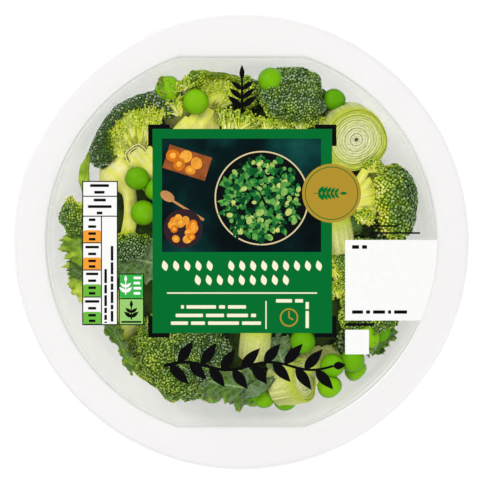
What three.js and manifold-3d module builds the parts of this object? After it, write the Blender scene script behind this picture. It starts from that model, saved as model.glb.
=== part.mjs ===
// A sealed round tray of mixed green vegetables: a translucent thermoformed bowl with a wide flange,
// a heap of broccoli florets, peas, leek slices and kale inside it, and a clear lidding film that
// carries printed fields.
// Millimetres, +Z up. The origin is the centre of the tray's underside, and the two flats of the bowl
// face +Y and -Y.
import * as THREE from 'three';
import { mergeVertices } from 'three/addons/utils/BufferGeometryUtils.js';
import Module from 'manifold-3d';

const wasm = await Module();
wasm.setup();

// ---------- driving dimensions ----------
const FLANGE_RADIUS = 89;      // the pack is 178 mm across
const TRAY_HEIGHT = 46;        // underside to the flange's top
const OPENING_RADIUS = 76.7;   // the bowl's mouth
const FLAT_DEPTH = 4.1;        // how far each flat cuts into the mouth's circle
const SHEET = 0.8;             // thickness of the formed plastic
const FILM = 0.3;              // thickness of the lidding film
const INK = 0.15;              // thickness of one printed field
const TURNS = 48;              // sides of a full circle on the tray and the film

const FOOT_OUTER = 62;         // the flat ring that the tray stands on
const FOOT_INNER = 54;
const PUSH_UP = 1.6;           // the floor's middle is raised by this
const PANEL_RADIUS = 50;       // edge of the raised middle
const CORNER_RADIUS = 8;       // floor to wall
const STEP_DEPTH = 3.4;        // the stacking step lies this far below the flange's top
const STEP_WIDTH = 1.6;
const LIP_DROP = 2.4;          // the flange's edge turns down by this
const ROUNDING = 1.2;          // the lip's rounded edge

const CLEARANCE = 0.5;         // air kept between the food and the plastic round it

const UP = new THREE.Vector3(0, 0, 1);
const radians = THREE.MathUtils.degToRad;

// ---------- materials ----------
const finish = (color, roughness, extra = {}) =>
  new THREE.MeshStandardMaterial({ color, roughness, metalness: 0, ...extra });
const MATERIALS = {
  tray: finish(0xf6f5f2, 0.35, { transparent: true, opacity: 0.55 }),
  film: finish(0xffffff, 0.08, { transparent: true, opacity: 0.15 }),
  food: finish(0x5f8f2c, 0.55),
  greenInk: finish(0x00702f, 0.4),
  pictureInk: finish(0x0d4238, 0.4),
  goldInk: finish(0xb4932b, 0.4),
  whiteInk: finish(0xfdfdfb, 0.45),
  claimInk: finish(0x7cc559, 0.45),
  blackInk: finish(0x0b0b0c, 0.4),
};

// ---------- small helpers ----------

// A repeatable number from 0 to 1 for each whole number, for unevenness without chance.
function scatter(index) {
  const value = Math.sin(index * 12.9898 + 4.1414) * 43758.5453;
  return value - Math.floor(value);
}

const smoothstep = THREE.MathUtils.smoothstep;

// A closed three.js geometry as a solid for joining and cutting.
function toSolid(geometry, matrix = new THREE.Matrix4()) {
  const bare = geometry.index ? geometry.toNonIndexed() : geometry.clone();
  const placed = new THREE.BufferGeometry()
    .setAttribute('position', bare.getAttribute('position'))
    .applyMatrix4(matrix);
  const merged = mergeVertices(placed, 1e-4);
  return new wasm.Manifold(new wasm.Mesh({
    numProp: 3,
    vertProperties: merged.attributes.position.array,
    triVerts: new Uint32Array(merged.index.array),
  }));
}

// A joined or cut solid back as a three.js geometry.
function toGeometry(solid) {
  const mesh = solid.getMesh();
  const positions = new Float32Array(mesh.numVert * 3);
  for (let i = 0; i < mesh.numVert; i++) {
    positions.set(mesh.vertProperties.subarray(i * mesh.numProp, i * mesh.numProp + 3), i * 3);
  }
  return new THREE.BufferGeometry()
    .setAttribute('position', new THREE.BufferAttribute(positions, 3))
    .setIndex(new THREE.BufferAttribute(mesh.triVerts, 1));
}

// A profile of [radius, height] pairs turned about +Z.
function turned(profile, sides) {
  const points = profile.map(([radius, height]) => new THREE.Vector2(radius, height));
  return new THREE.LatheGeometry(points, sides).rotateX(Math.PI / 2);
}

// Moves every vertex by a function of its own position.
function reshape(geometry, move) {
  const position = geometry.getAttribute('position');
  const point = new THREE.Vector3();
  for (let i = 0; i < position.count; i++) {
    point.fromBufferAttribute(position, i);
    move(point);
    position.setXYZ(i, point.x, point.y, point.z);
  }
  return geometry;
}

// The matrix that stands a piece at a place with its +Z leaning by `tilt` towards `azimuth`.
// Angles are in degrees.
function stand(x, y, z, azimuth = 0, tilt = 0, spin = 0) {
  const lean = new THREE.Vector3(
    Math.sin(radians(tilt)) * Math.cos(radians(azimuth)),
    Math.sin(radians(tilt)) * Math.sin(radians(azimuth)),
    Math.cos(radians(tilt)),
  );
  const turn = new THREE.Quaternion().setFromUnitVectors(UP, lean);
  turn.multiply(new THREE.Quaternion().setFromAxisAngle(UP, radians(spin)));
  return new THREE.Matrix4().compose(new THREE.Vector3(x, y, z), turn, new THREE.Vector3(1, 1, 1));
}

// ---------- tray ----------

// The formed sheet's middle line from the axis out to the lip, as [radius, height].
function sheetLine() {
  const middle = SHEET / 2;
  const wallTop = [OPENING_RADIUS - STEP_WIDTH, TRAY_HEIGHT - STEP_DEPTH];
  const cornerCentre = [FOOT_OUTER, middle + CORNER_RADIUS];
  const line = [
    [0, middle + PUSH_UP],
    [PANEL_RADIUS, middle + PUSH_UP],
    [FOOT_INNER, middle],
    [FOOT_OUTER, middle],
  ];
  for (const angle of [-60, -32, -8]) {
    line.push([
      cornerCentre[0] + CORNER_RADIUS * Math.cos(radians(angle)),
      cornerCentre[1] + CORNER_RADIUS * Math.sin(radians(angle)),
    ]);
  }
  const flangeTop = TRAY_HEIGHT - middle;
  const lipRadius = FLANGE_RADIUS - middle;
  line.push(
    wallTop,
    // the step, its riser and the turn onto the flange
    [OPENING_RADIUS - 0.4, wallTop[1] + 0.5],
    [OPENING_RADIUS + 0.1, flangeTop - 0.9],
    [OPENING_RADIUS + 1.0, flangeTop],
    [lipRadius - ROUNDING, flangeTop],
    [lipRadius, flangeTop - ROUNDING],
    [lipRadius, TRAY_HEIGHT - LIP_DROP],
  );
  return line;
}

// The same line moved sideways by `distance`, to its left when followed outwards.
function offsetLine(line, distance) {
  return line.map(([radius, height], i) => {
    const before = line[Math.max(i - 1, 0)];
    const after = line[Math.min(i + 1, line.length - 1)];
    const here = new THREE.Vector2(radius, height);
    const step = here.clone().sub(new THREE.Vector2(...before));
    const into = i === 0 ? new THREE.Vector2(1, 0) : step.normalize();
    const out = i === line.length - 1 ? into : new THREE.Vector2(...after).sub(here).normalize();
    const normal = new THREE.Vector2(-into.y - out.y, into.x + out.x).normalize();
    const stretch = distance / Math.max(normal.dot(new THREE.Vector2(-into.y, into.x)), 0.5);
    return [Math.max(radius + normal.x * stretch, 0), height + normal.y * stretch];
  });
}

// How far the flats cut in at a radius: not at all on the floor's middle or the flange's outer half.
function flatCut(radius) {
  const rising = smoothstep(radius, PANEL_RADIUS, FOOT_OUTER + CORNER_RADIUS);
  const fading = 1 - smoothstep(radius, OPENING_RADIUS + 2, FLANGE_RADIUS - 3);
  return FLAT_DEPTH * rising * fading;
}

// Presses the two flats into a turned shape.
function pressFlats(geometry) {
  return reshape(geometry, (point) => {
    const radius = Math.hypot(point.x, point.y);
    const limit = radius - flatCut(radius);
    point.y = THREE.MathUtils.clamp(point.y, -limit, limit);
  });
}

function trayGeometry() {
  const line = sheetLine();
  const outside = offsetLine(line, -SHEET / 2);
  const inside = offsetLine(line, SHEET / 2).reverse();
  return pressFlats(turned([...outside, ...inside], TURNS));
}

// The space that the food may fill: the bowl's inside, drawn in by the clearance, under the film.
function roomForFood() {
  const inside = offsetLine(sheetLine(), SHEET / 2 + CLEARANCE);
  const stepHeight = TRAY_HEIGHT - STEP_DEPTH;
  const wall = inside.filter(([radius, height]) => radius < OPENING_RADIUS && height < stepHeight);
  const top = TRAY_HEIGHT - CLEARANCE;
  const mouth = wall[wall.length - 1][0] + 1;
  return toSolid(pressFlats(turned([...wall, [mouth, top], [0, top]], TURNS)));
}

// ---------- vegetables ----------

const LOBE_TURN = 137.5;       // golden angle in degrees, which spreads a floret's lobes evenly
const LOBE_SPAN = [12, 90];    // degrees from a crown's top to its first and its last lobe
const LOBE_DEPTH = 0.2;        // how far a lobe swells, as a share of the crown's radius
const LOBE_EDGE = [0.72, 0.98]; // cosines at a lobe's edge and at its middle
const UNDERSIDE = 0.5;         // the crown's underside is this much flatter than its top
const CUT_ABOVE = 0.1;         // a half floret is cut this share of its radius above its axis
const CUT_BOX = 120;           // edge of the box that slices a floret in half
const STALK_SIDES = 7;
const STALK_TAPER = [1.15, 0.8]; // the stalk's usual radius under the crown and at its cut end, in necks
const BRANCHES = { top: 0.62, depth: 0.7, middle: 0.5 }; // the cone of branches, in crown radii

// The directions of a crown's lobes, from its top down to its rim.
function lobeDirections(count) {
  return Array.from({ length: count }, (_, i) => {
    const fromTop = radians(THREE.MathUtils.lerp(...LOBE_SPAN, i / Math.max(count - 1, 1)));
    const around = radians(i * LOBE_TURN);
    return new THREE.Vector3(
      Math.sin(fromTop) * Math.cos(around),
      Math.sin(fromTop) * Math.sin(around),
      Math.cos(fromTop),
    );
  });
}

// A broccoli floret: a lobed crown at the origin facing +Z, and its stalk running down -Z.
function floret({ crown, stalk, neck = crown * 0.3, cutEnd, lobes = 9, fineness = 2, half = false }) {
  const directions = lobeDirections(lobes);
  const dome = reshape(new THREE.IcosahedronGeometry(1, fineness), (point) => {
    const facing = point.clone().normalize();
    const nearest = Math.max(...directions.map((direction) => direction.dot(facing)));
    const swell = LOBE_DEPTH * smoothstep(nearest, ...LOBE_EDGE);
    point.multiplyScalar(crown * (1 - LOBE_DEPTH + swell));
    if (point.z < 0) {
      point.z *= UNDERSIDE;
    }
  });
  const [underCrown, usualEnd] = STALK_TAPER.map((share) => neck * share);
  const stem = new THREE.CylinderGeometry(underCrown, cutEnd ?? usualEnd, stalk, STALK_SIDES)
    .rotateX(Math.PI / 2)
    .translate(0, 0, -stalk / 2);
  const [coneTop, coneDepth] = [crown * BRANCHES.top, crown * BRANCHES.depth];
  const branches = new THREE.CylinderGeometry(coneTop, neck, coneDepth, STALK_SIDES)
    .rotateX(Math.PI / 2)
    .translate(0, 0, -crown * BRANCHES.middle);
  let whole = toSolid(dome).add(toSolid(branches)).add(toSolid(stem));
  if (half) {
    const knife = new THREE.BoxGeometry(CUT_BOX, CUT_BOX, CUT_BOX)
      .translate(0, CUT_BOX / 2 + crown * CUT_ABOVE, 0);
    whole = whole.subtract(toSolid(knife));
  }
  return whole;
}

function pea({ radius }) {
  return toSolid(new THREE.IcosahedronGeometry(radius, 1));
}

// A slice across a leek: its layers stand as low concentric ridges on the cut face that shows.
const RIDGE = 0.5;             // height of a layer's ridge
const RIDGE_INSET = 0.35;      // the ridge's crest lies this share of a layer inside the layer's edge

function leekSlice({ radius, thickness, layers = 2, sides = 14 }) {
  const face = [[0, thickness / 2 - RIDGE]];
  for (let layer = 1; layer <= layers; layer++) {
    const edge = (radius * layer) / layers;
    face.push([edge - (radius / layers) * RIDGE_INSET, thickness / 2]);
    face.push([edge, thickness / 2 - RIDGE]);
  }
  const under = [[0, -thickness / 2], [radius, -thickness / 2]];
  return toSolid(turned([...under, ...face.reverse()], sides));
}

// A torn piece of kale: a thin sheet, ruffled along its edges and bent over its length.
const LEAF = { thickness: 0.9, columns: 4, rows: 5 };
const LEAF_NARROWING = 0.35;   // share of its width that a leaf loses at its ends
const RUFFLE = { height: 1.6, waves: 5 };
const TROUGH = 3;              // how far a leaf's sides rise over its middle, at curl 1
const DROOP = 2.5;             // how far its ends hang under its middle, at curl 1

function kaleLeaf({ width, length, curl = 1 }) {
  const { thickness, columns, rows } = LEAF;
  const sheet = new THREE.PlaneGeometry(width, length, columns, rows);
  reshape(sheet, (point) => {
    const across = (2 * point.x) / width;
    const along = (2 * point.y) / length;
    const ruffle = RUFFLE.height * Math.abs(across) * Math.sin(along * RUFFLE.waves + Math.sign(across));
    point.x *= 1 - LEAF_NARROWING * along * along;
    point.z = ruffle + curl * (TROUGH * across * across - DROOP * along * along);
  });
  return toSolid(thickened(sheet, columns, rows, thickness));
}

// Gives a plane grid an identical underside and closes its rim.
function thickened(sheet, columns, rows, thickness) {
  const top = sheet.getAttribute('position');
  const positions = [];
  for (const drop of [0, thickness]) {
    for (let i = 0; i < top.count; i++) {
      positions.push(top.getX(i), top.getY(i), top.getZ(i) - drop);
    }
  }
  const upper = Array.from(sheet.index.array);
  const triangles = [...upper];
  for (let i = 0; i < upper.length; i += 3) {
    triangles.push(upper[i] + top.count, upper[i + 2] + top.count, upper[i + 1] + top.count);
  }
  const at = (row, column) => row * (columns + 1) + column;
  const rim = [];
  for (let column = 0; column < columns; column++) rim.push(at(0, column));
  for (let row = 0; row < rows; row++) rim.push(at(row, columns));
  for (let column = columns; column > 0; column--) rim.push(at(rows, column));
  for (let row = rows; row > 0; row--) rim.push(at(row, 0));
  rim.forEach((here, i) => {
    const next = rim[(i + 1) % rim.length];
    triangles.push(here, next, here + top.count);
    triangles.push(next, next + top.count, here + top.count);
  });
  return new THREE.BufferGeometry()
    .setAttribute('position', new THREE.Float32BufferAttribute(positions, 3))
    .setIndex(triangles);
}

// The florets that show through the film. A half floret's cut face looks straight up when its tilt is 90.
const TOP_FLORETS = [
  { at: [-43, 43, 36], azimuth: 135, tilt: 76, crown: 20, stalk: 30, neck: 7.5, fineness: 3, half: true },
  { at: [-9, 57, 35], azimuth: 95, tilt: 84, crown: 15, stalk: 26, half: true },
  { at: [20, 56, 31], azimuth: 70, tilt: 22, crown: 14.5, stalk: 22 },
  { at: [59, 15, 28], azimuth: 5, tilt: 62, crown: 17, stalk: 30, neck: 6, fineness: 3 },
  { at: [-64, 10, 35], azimuth: 215, tilt: 70, crown: 8, stalk: 14, neck: 4, lobes: 6, fineness: 1 },
  {
    at: [-46, 0, 33], azimuth: 283, tilt: 84, crown: 9, stalk: 30, neck: 4.2, cutEnd: 7.4,
    lobes: 6, fineness: 1,
  },
  { at: [-26, -45, 25], azimuth: 250, tilt: 8, crown: 20, stalk: 16, neck: 7, lobes: 12, fineness: 3 },
  { at: [46, -10, 32], azimuth: 20, tilt: 25, crown: 12, stalk: 20, lobes: 7 },
  { at: [51, -25, 31], azimuth: -40, tilt: 18, crown: 13, stalk: 20, lobes: 7 },
];
const TOP_PEAS = [
  { at: [-28.9, 60.3, 35.5], radius: 5.2 },
  { at: [-17.8, 54.9, 40.2], radius: 5.1 },
  { at: [11.6, 63.4, 38.5], radius: 5.1 },
  { at: [36.6, 56, 34], radius: 4.6 },
  { at: [-40.9, 24.9, 36.5], radius: 4.8 },
  { at: [-38.6, 11.4, 36], radius: 5 },
  { at: [-33.4, 20.6, 35.5], radius: 4.8 },
  { at: [24.1, -39.1, 39.5], radius: 5 },
  { at: [35.8, -48.5, 39], radius: 4.8 },
  { at: [43.8, -46.6, 37], radius: 4.8 },
  { at: [45.4, -51, 32], radius: 4.6 },
  { at: [34.8, -57, 37.2], radius: 4.9 },
  { at: [49.8, -37.5, 37.5], radius: 4.8 },
  { at: [55, -35.5, 33], radius: 4.5 },
  { at: [3.6, -60.2, 33], radius: 4.7 },
  { at: [8.8, -60.8, 30], radius: 4.6 },
  { at: [17.4, -62.2, 31], radius: 4.8 },
];
const TOP_LEEKS = [
  { at: [44.5, 40.5, 34.5], azimuth: -45, tilt: 20, radius: 13, thickness: 12, layers: 3, sides: 16 },
  { at: [19.6, -56, 34], azimuth: 12, tilt: 62, radius: 10, thickness: 12 },
  { at: [5.5, -39.5, 37], azimuth: 85, tilt: 70, radius: 6, thickness: 13 },
  { at: [38.5, 3, 37.5], azimuth: 100, tilt: 75, radius: 5.5, thickness: 14 },
];
const TOP_KALE = [
  { at: [-60.5, 33, 34], azimuth: 160, tilt: 62, spin: 10, width: 12, length: 26 },
  { at: [-64, -9.5, 35], azimuth: 190, tilt: 30, spin: 5, width: 15, length: 24 },
  { at: [-60, -26, 34], azimuth: 210, tilt: 25, spin: 30, width: 17, length: 22 },
  { at: [-42, -7, 36], azimuth: 60, tilt: 12, spin: 80, width: 18, length: 24, curl: 0.5 },
  { at: [-50, -41, 33], azimuth: 220, tilt: 48, spin: 20, width: 12, length: 26 },
  { at: [-3, -58, 37], azimuth: 265, tilt: 18, spin: 80, width: 17, length: 28, curl: 0.5 },
  { at: [56, -38, 36], azimuth: -30, tilt: 40, spin: -15, width: 13, length: 17 },
  { at: [15, -44, 37.5], azimuth: 100, tilt: 20, spin: 20, width: 12, length: 16, curl: 0.4 },
  { at: [41.5, 7, 37], azimuth: 0, tilt: 15, spin: 60, width: 12, length: 13, curl: 0.6 },
];

// A point on a circle about [cx, cy], at an angle in degrees.
function onRing(radius, angle, [cx, cy] = [0, 0]) {
  return [cx + radius * Math.cos(radians(angle)), cy + radius * Math.sin(radians(angle))];
}

// Under the printed panel: a ring of florets that look up, round one leek slice.
const MIDDLE = { centre: [0, 4], florets: 5, ring: 20, height: 29, tilt: 16 };
const MIDDLE_LEEK = { at: [0, 4, 34], azimuth: 30, tilt: 12, radius: 9, thickness: 10 };

function middlePieces() {
  const { at, azimuth, tilt } = MIDDLE_LEEK;
  const pieces = [[leekSlice(MIDDLE_LEEK), stand(...at, azimuth, tilt)]];
  for (let i = 0; i < MIDDLE.florets; i++) {
    const angle = (360 * (i + 0.4 * scatter(i + 100))) / MIDDLE.florets;
    const place = onRing(MIDDLE.ring, angle, MIDDLE.centre);
    const looksUp = stand(...place, MIDDLE.height, angle, MIDDLE.tilt);
    const crown = 12.5 + 1.5 * scatter(i + 120);
    pieces.push([floret({ crown, stalk: 16, lobes: 6, fineness: 1 }), looksUp]);
  }
  return pieces;
}

// What lies against the wall below: florets looking out, and between them, in turn, leek slices
// on edge and peas.
const WALL = { florets: 8, ring: 51, height: 15, tilt: 78 };
const WALL_LEEKS = { ring: 58, height: 20, tilt: 70, radius: 10, thickness: 9 };
const WALL_PEAS = { ring: 61, height: 12, radius: 4.8 };

function wallPieces() {
  const pieces = [];
  for (let i = 0; i < WALL.florets; i++) {
    const angle = (360 * i) / WALL.florets + 12 * scatter(i);
    const ring = WALL.ring + 2 * scatter(i + 20);
    const looksOut = stand(...onRing(ring, angle), WALL.height + 4 * scatter(i + 40), angle, WALL.tilt);
    const crown = 12 + 2.5 * scatter(i + 60);
    pieces.push([floret({ crown, stalk: 20, lobes: 6, fineness: 1 }), looksOut]);

    const between = angle + 180 / WALL.florets;
    if (i % 2 === 0) {
      const { thickness, tilt } = WALL_LEEKS;
      const radius = WALL_LEEKS.radius + 2 * scatter(i);
      const height = WALL_LEEKS.height + 5 * scatter(i + 80);
      const onEdge = stand(...onRing(WALL_LEEKS.ring, between), height, between, tilt);
      pieces.push([leekSlice({ radius, thickness, layers: 1 }), onEdge]);
    } else {
      const place = stand(...onRing(WALL_PEAS.ring, between), WALL_PEAS.height + 10 * scatter(i + 90));
      pieces.push([pea(WALL_PEAS), place]);
    }
  }
  return pieces;
}

// The plain bed under everything that shows.
const MOUND = [[0, 2.6], [46, 2.6], [58, 7], [60, 20], [52, 32], [25, 33], [0, 32]];
const MOUND_SIDES = 18;
const WOBBLE = { depth: 0.05, waves: 5 };

function core() {
  return toSolid(reshape(turned(MOUND, MOUND_SIDES), (point) => {
    const around = Math.atan2(point.y, point.x);
    const wobble = 1 + WOBBLE.depth * Math.sin(around * WOBBLE.waves + point.z);
    point.x *= wobble;
    point.y *= wobble;
  }));
}

function heapGeometry() {
  const placed = ({ at, azimuth = 0, tilt = 0, spin = 0 }) => stand(...at, azimuth, tilt, spin);
  // A half floret turns about its own stalk until its cut face looks up.
  const faceUp = (piece) => placed({ ...piece, spin: piece.half ? piece.azimuth + 90 : 0 });
  const pieces = [
    ...TOP_FLORETS.map((piece) => [floret(piece), faceUp(piece)]),
    ...TOP_PEAS.map((piece) => [pea(piece), placed(piece)]),
    ...TOP_LEEKS.map((piece) => [leekSlice(piece), placed(piece)]),
    ...TOP_KALE.map((piece) => [kaleLeaf(piece), placed(piece)]),
    ...middlePieces(),
    ...wallPieces(),
  ];
  let heap = core();
  for (const [solid, matrix] of pieces) {
    heap = heap.add(toSolid(toGeometry(solid), matrix));
  }
  // What the film or the wall cuts loose is dropped.
  const bodies = heap.intersect(roomForFood()).decompose();
  return toGeometry(bodies.sort((a, b) => b.volume() - a.volume())[0]);
}

// ---------- film and its printed fields ----------

const FILM_MARGIN = 0.6;       // the film ends this far inside the flange's edge

function filmGeometry() {
  const radius = FLANGE_RADIUS - FILM_MARGIN;
  const [low, high] = [TRAY_HEIGHT, TRAY_HEIGHT + FILM];
  return turned([[0, low], [radius, low], [radius, high], [0, high]], TURNS);
}

// A flat field of ink from an outline, in the given layer above the film.
function field(shape, layer = 0, curveSegments = 18) {
  return new THREE.ExtrudeGeometry(shape, { depth: INK, bevelEnabled: false, curveSegments })
    .translate(0, 0, TRAY_HEIGHT + FILM + layer * INK);
}

function rectangle(left, bottom, right, top) {
  const shape = new THREE.Shape();
  shape.moveTo(left, bottom);
  shape.lineTo(right, bottom);
  shape.lineTo(right, top);
  shape.lineTo(left, top);
  shape.closePath();
  return shape;
}

const PANEL = { left: -34.6, right: 35.4, bottom: -35.6, top: 44 };
const PICTURE = { left: -30.9, right: 31.1, bottom: -4, top: 40.2 };
const BADGE = { x: 35.2, y: 18.9, radius: 11.5 };
const TABLE = { left: -62, right: -48.1, bottom: -32.5, top: 23.7 };
const CLAIM = { left: -47.8, right: -37.9, bottom: -32.5, top: -12.4 };
const DATE = { left: 40.5, bottom: -30.7, top: 0.7 };
const CODE = { left: 40.5, right: 49.8, bottom: -43.9, top: -34.3 };
const MARK_LENGTH = 8.4;
const MARK_WIDTH = 1.7;

function badgeShape() {
  const shape = new THREE.Shape();
  shape.absarc(BADGE.x, BADGE.y, BADGE.radius, 0, Math.PI * 2);
  return shape;
}

// The white field for a date, whose right side follows the edge of the bowl's mouth.
function dateShape() {
  const radius = OPENING_RADIUS - 0.3;
  const from = Math.asin(DATE.bottom / radius);
  const to = Math.asin(DATE.top / radius);
  const shape = new THREE.Shape();
  shape.moveTo(DATE.left, DATE.bottom);
  shape.lineTo(radius * Math.cos(from), DATE.bottom);
  shape.absarc(0, 0, radius, from, to, false);
  shape.lineTo(DATE.left, DATE.top);
  shape.closePath();
  return shape;
}

// One black corner mark just outside the panel; sideX and sideY are -1 or 1.
function markShape(sideX, sideY) {
  const cornerX = sideX > 0 ? PANEL.right : PANEL.left;
  const cornerY = sideY > 0 ? PANEL.top : PANEL.bottom;
  const outline = [
    [0, 0], [0, MARK_WIDTH - MARK_LENGTH], [MARK_WIDTH, MARK_WIDTH - MARK_LENGTH],
    [MARK_WIDTH, MARK_WIDTH], [MARK_WIDTH - MARK_LENGTH, MARK_WIDTH], [MARK_WIDTH - MARK_LENGTH, 0],
  ];
  const corner = ([x, y]) => new THREE.Vector2(cornerX + sideX * x, cornerY + sideY * y);
  return new THREE.Shape(outline.map(corner));
}

// ---------- assembly ----------

function named(name, geometry, material) {
  const mesh = new THREE.Mesh(geometry, material);
  mesh.name = name;
  return mesh;
}

const box = ({ left, right, bottom, top }) => rectangle(left, bottom, right, top);

const print = new THREE.Group();
print.add(
  named('label_panel', field(box(PANEL)), MATERIALS.greenInk),
  named('label_picture', field(box(PICTURE), 1), MATERIALS.pictureInk),
  named('label_badge', field(badgeShape(), 2), MATERIALS.goldInk),
  named('nutrition_table', field(box(TABLE)), MATERIALS.whiteInk),
  named('claim_panel', field(box(CLAIM)), MATERIALS.claimInk),
  named('date_panel', field(dateShape()), MATERIALS.whiteInk),
  named('code_panel', field(box(CODE)), MATERIALS.whiteInk),
);
[[-1, 1], [1, 1], [-1, -1], [1, -1]].forEach(([sideX, sideY], i) => {
  print.add(named(`corner_mark_${i + 1}`, field(markShape(sideX, sideY)), MATERIALS.blackInk));
});

const pack = new THREE.Group();
pack.add(
  named('tray', trayGeometry(), MATERIALS.tray),
  named('vegetables', heapGeometry(), MATERIALS.food),
  named('lidding_film', filmGeometry(), MATERIALS.film),
  print,
);

export default pack;
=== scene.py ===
# %% [markdown]
# # A sealed round tray of green vegetables
# The pack is a thin translucent tray, a clear printed film across its flange, and a heap of broccoli
# florets, peas, leek slices and kale in between. The CAD model has the sizes and the places. Here each
# part gets its real surface. The CAD model is loaded first and never moved, because every new piece is
# placed by it.

# %% Load the fixed frame
import math

import bpy
import numpy as np
from mathutils import Matrix, Quaternion, Vector


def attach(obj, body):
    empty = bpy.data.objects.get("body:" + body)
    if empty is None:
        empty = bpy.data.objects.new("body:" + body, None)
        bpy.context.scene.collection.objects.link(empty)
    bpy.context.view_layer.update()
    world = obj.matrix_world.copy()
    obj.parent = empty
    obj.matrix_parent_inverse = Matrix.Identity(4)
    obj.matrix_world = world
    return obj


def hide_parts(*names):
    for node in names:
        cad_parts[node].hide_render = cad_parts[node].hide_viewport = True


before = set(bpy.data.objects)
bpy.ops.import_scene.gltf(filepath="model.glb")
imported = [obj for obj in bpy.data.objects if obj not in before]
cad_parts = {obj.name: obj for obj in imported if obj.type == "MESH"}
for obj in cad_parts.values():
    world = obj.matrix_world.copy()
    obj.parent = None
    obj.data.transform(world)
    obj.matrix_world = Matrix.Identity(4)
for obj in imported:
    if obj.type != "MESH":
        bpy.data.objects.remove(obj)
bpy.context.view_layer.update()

# %% [markdown]
# Sizes are written in millimetres, as on a drawing, and become metres when a mesh is made. Unevenness
# comes from two sources that give the same result at each run: the small formula that also placed the
# pieces of the CAD model, and a seeded generator for the thousands of buds.

# %% Units and repeatable unevenness
MM = 0.001
UP = Vector((0, 0, 1))
GOLDEN_TURN = math.radians(137.5)    # spreads any number of points evenly round an axis


def scatter(index):
    value = math.sin(index * 12.9898 + 4.1414) * 43758.5453
    return value - math.floor(value)


def smoothstep(value, low, high):
    share = np.clip((value - low) / (high - low), 0, 1)
    return share * share * (3 - 2 * share)


def ripple(points, wavelength):
    """A smooth value between about -1 and 1 that wanders over space, for low bumps."""
    x, y, z = (points * (2 * math.pi / wavelength)).T
    return (np.sin(x + 1.3 * np.sin(0.7 * y)) + np.sin(y + 1.1 * np.sin(0.8 * z)) + np.sin(z + x * 0.4)) / 3


# %% [markdown]
# The tray's section is one line of plastic, from the middle of the floor out to the turned-down lip.
# It is given once, because the tray is made from it, and because the food has to stay inside it.
# Where the real mouth has two straight stretches, the round section is pressed in by a few
# millimetres, most of all at the wall's top.

# %% The tray's section
FLANGE_RADIUS = 89
TRAY_HEIGHT = 46
OPENING_RADIUS = 76.7
FLAT_DEPTH = 4.1
SHEET = 0.8
PANEL_RADIUS = 50
FOOT_INNER = 54
FOOT_OUTER = 62
PUSH_UP = 1.6
CORNER_RADIUS = 8
STEP_DEPTH = 3.4
STEP_WIDTH = 1.6
LIP_DROP = 2.4


def arc(centre, radius, first, last, steps):
    """Points on an arc in the section's plane, with angles in degrees from straight outwards."""
    angles = np.radians(np.linspace(first, last, steps))
    return [(centre[0] + radius * math.cos(a), centre[1] + radius * math.sin(a)) for a in angles]


middle = SHEET / 2
flange_line = TRAY_HEIGHT - middle
wall_top = (OPENING_RADIUS - STEP_WIDTH, TRAY_HEIGHT - STEP_DEPTH)
section = [
    (0, middle + PUSH_UP),
    (PANEL_RADIUS - 1, middle + PUSH_UP),
    (PANEL_RADIUS + 0.6, middle + PUSH_UP - 0.3),
    (FOOT_INNER - 0.6, middle + 0.3),
    (FOOT_INNER + 1, middle),
    *arc((FOOT_OUTER, middle + CORNER_RADIUS), CORNER_RADIUS, -90, -8, 9),
    (wall_top[0] - 0.15, wall_top[1] - 1.0),
    *arc((wall_top[0] + 0.5, wall_top[1] - 0.5), 0.5, 170, 95, 3),
    *arc((OPENING_RADIUS - 0.9, wall_top[1] + 0.7), 0.6, -80, -10, 3),
    *arc((OPENING_RADIUS + 0.6, flange_line - 0.9), 0.9, 175, 95, 4),
    (OPENING_RADIUS + 3.2, flange_line),
    *arc((FLANGE_RADIUS - middle - 1.2, flange_line - 1.2), 1.2, 90, 0, 5),
    (FLANGE_RADIUS - middle, TRAY_HEIGHT - LIP_DROP),
]


def flat_cut(radius):
    rising = smoothstep(radius, PANEL_RADIUS, FOOT_OUTER + CORNER_RADIUS)
    return FLAT_DEPTH * rising * (1 - smoothstep(radius, OPENING_RADIUS + 2, FLANGE_RADIUS - 3))


def press_flats(points):
    radius = np.hypot(points[:, 0], points[:, 1])
    limit = radius - flat_cut(radius)
    points[:, 1] = np.clip(points[:, 1], -limit, limit)
    return points


print("section of", len(section), "points")

# %% [markdown]
# The food has to stay inside the plastic and under the film, and it can't be laid in by hand, so one
# function moves every point of it that would stick out. The heap leaves gaps to the wall, so its edge
# from above is given too, and food that would reach past it is drawn in smoothly.

# %% Room for the food
wall = np.array([point for point in section if point[0] < OPENING_RADIUS])
order = np.argsort(wall[:, 1], kind="stable")
wall_heights, wall_radii = wall[order, 1], np.maximum.accumulate(wall[order, 0])
FOOD_GAP = 0.9          # from the sheet's middle line to the food
FOOD_TOP = 45.4         # just under the film
FOOD_FLOOR = 2.9
HEAP_EDGE = (           # the heap's reach from above: direction in degrees, and distance
    (0, 70), (9, 71), (20, 75), (30, 71), (45, 76), (80, 76), (90, 65.5), (100, 68.5), (110, 76), (117, 76),
    (121, 71), (133, 74), (145, 71.5), (152, 71), (162, 76), (190, 74), (200, 69), (210, 66), (220, 64.5),
    (229, 69), (240, 68), (250, 76), (350, 72), (360, 70),
)
HEAP_ANGLES, HEAP_REACH = zip(*HEAP_EDGE)
HEAP_ROUNDING = 7       # the last millimetres over which the heap's edge is drawn in
HEAP_BASE = 14          # below this height only the wall holds the food


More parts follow.
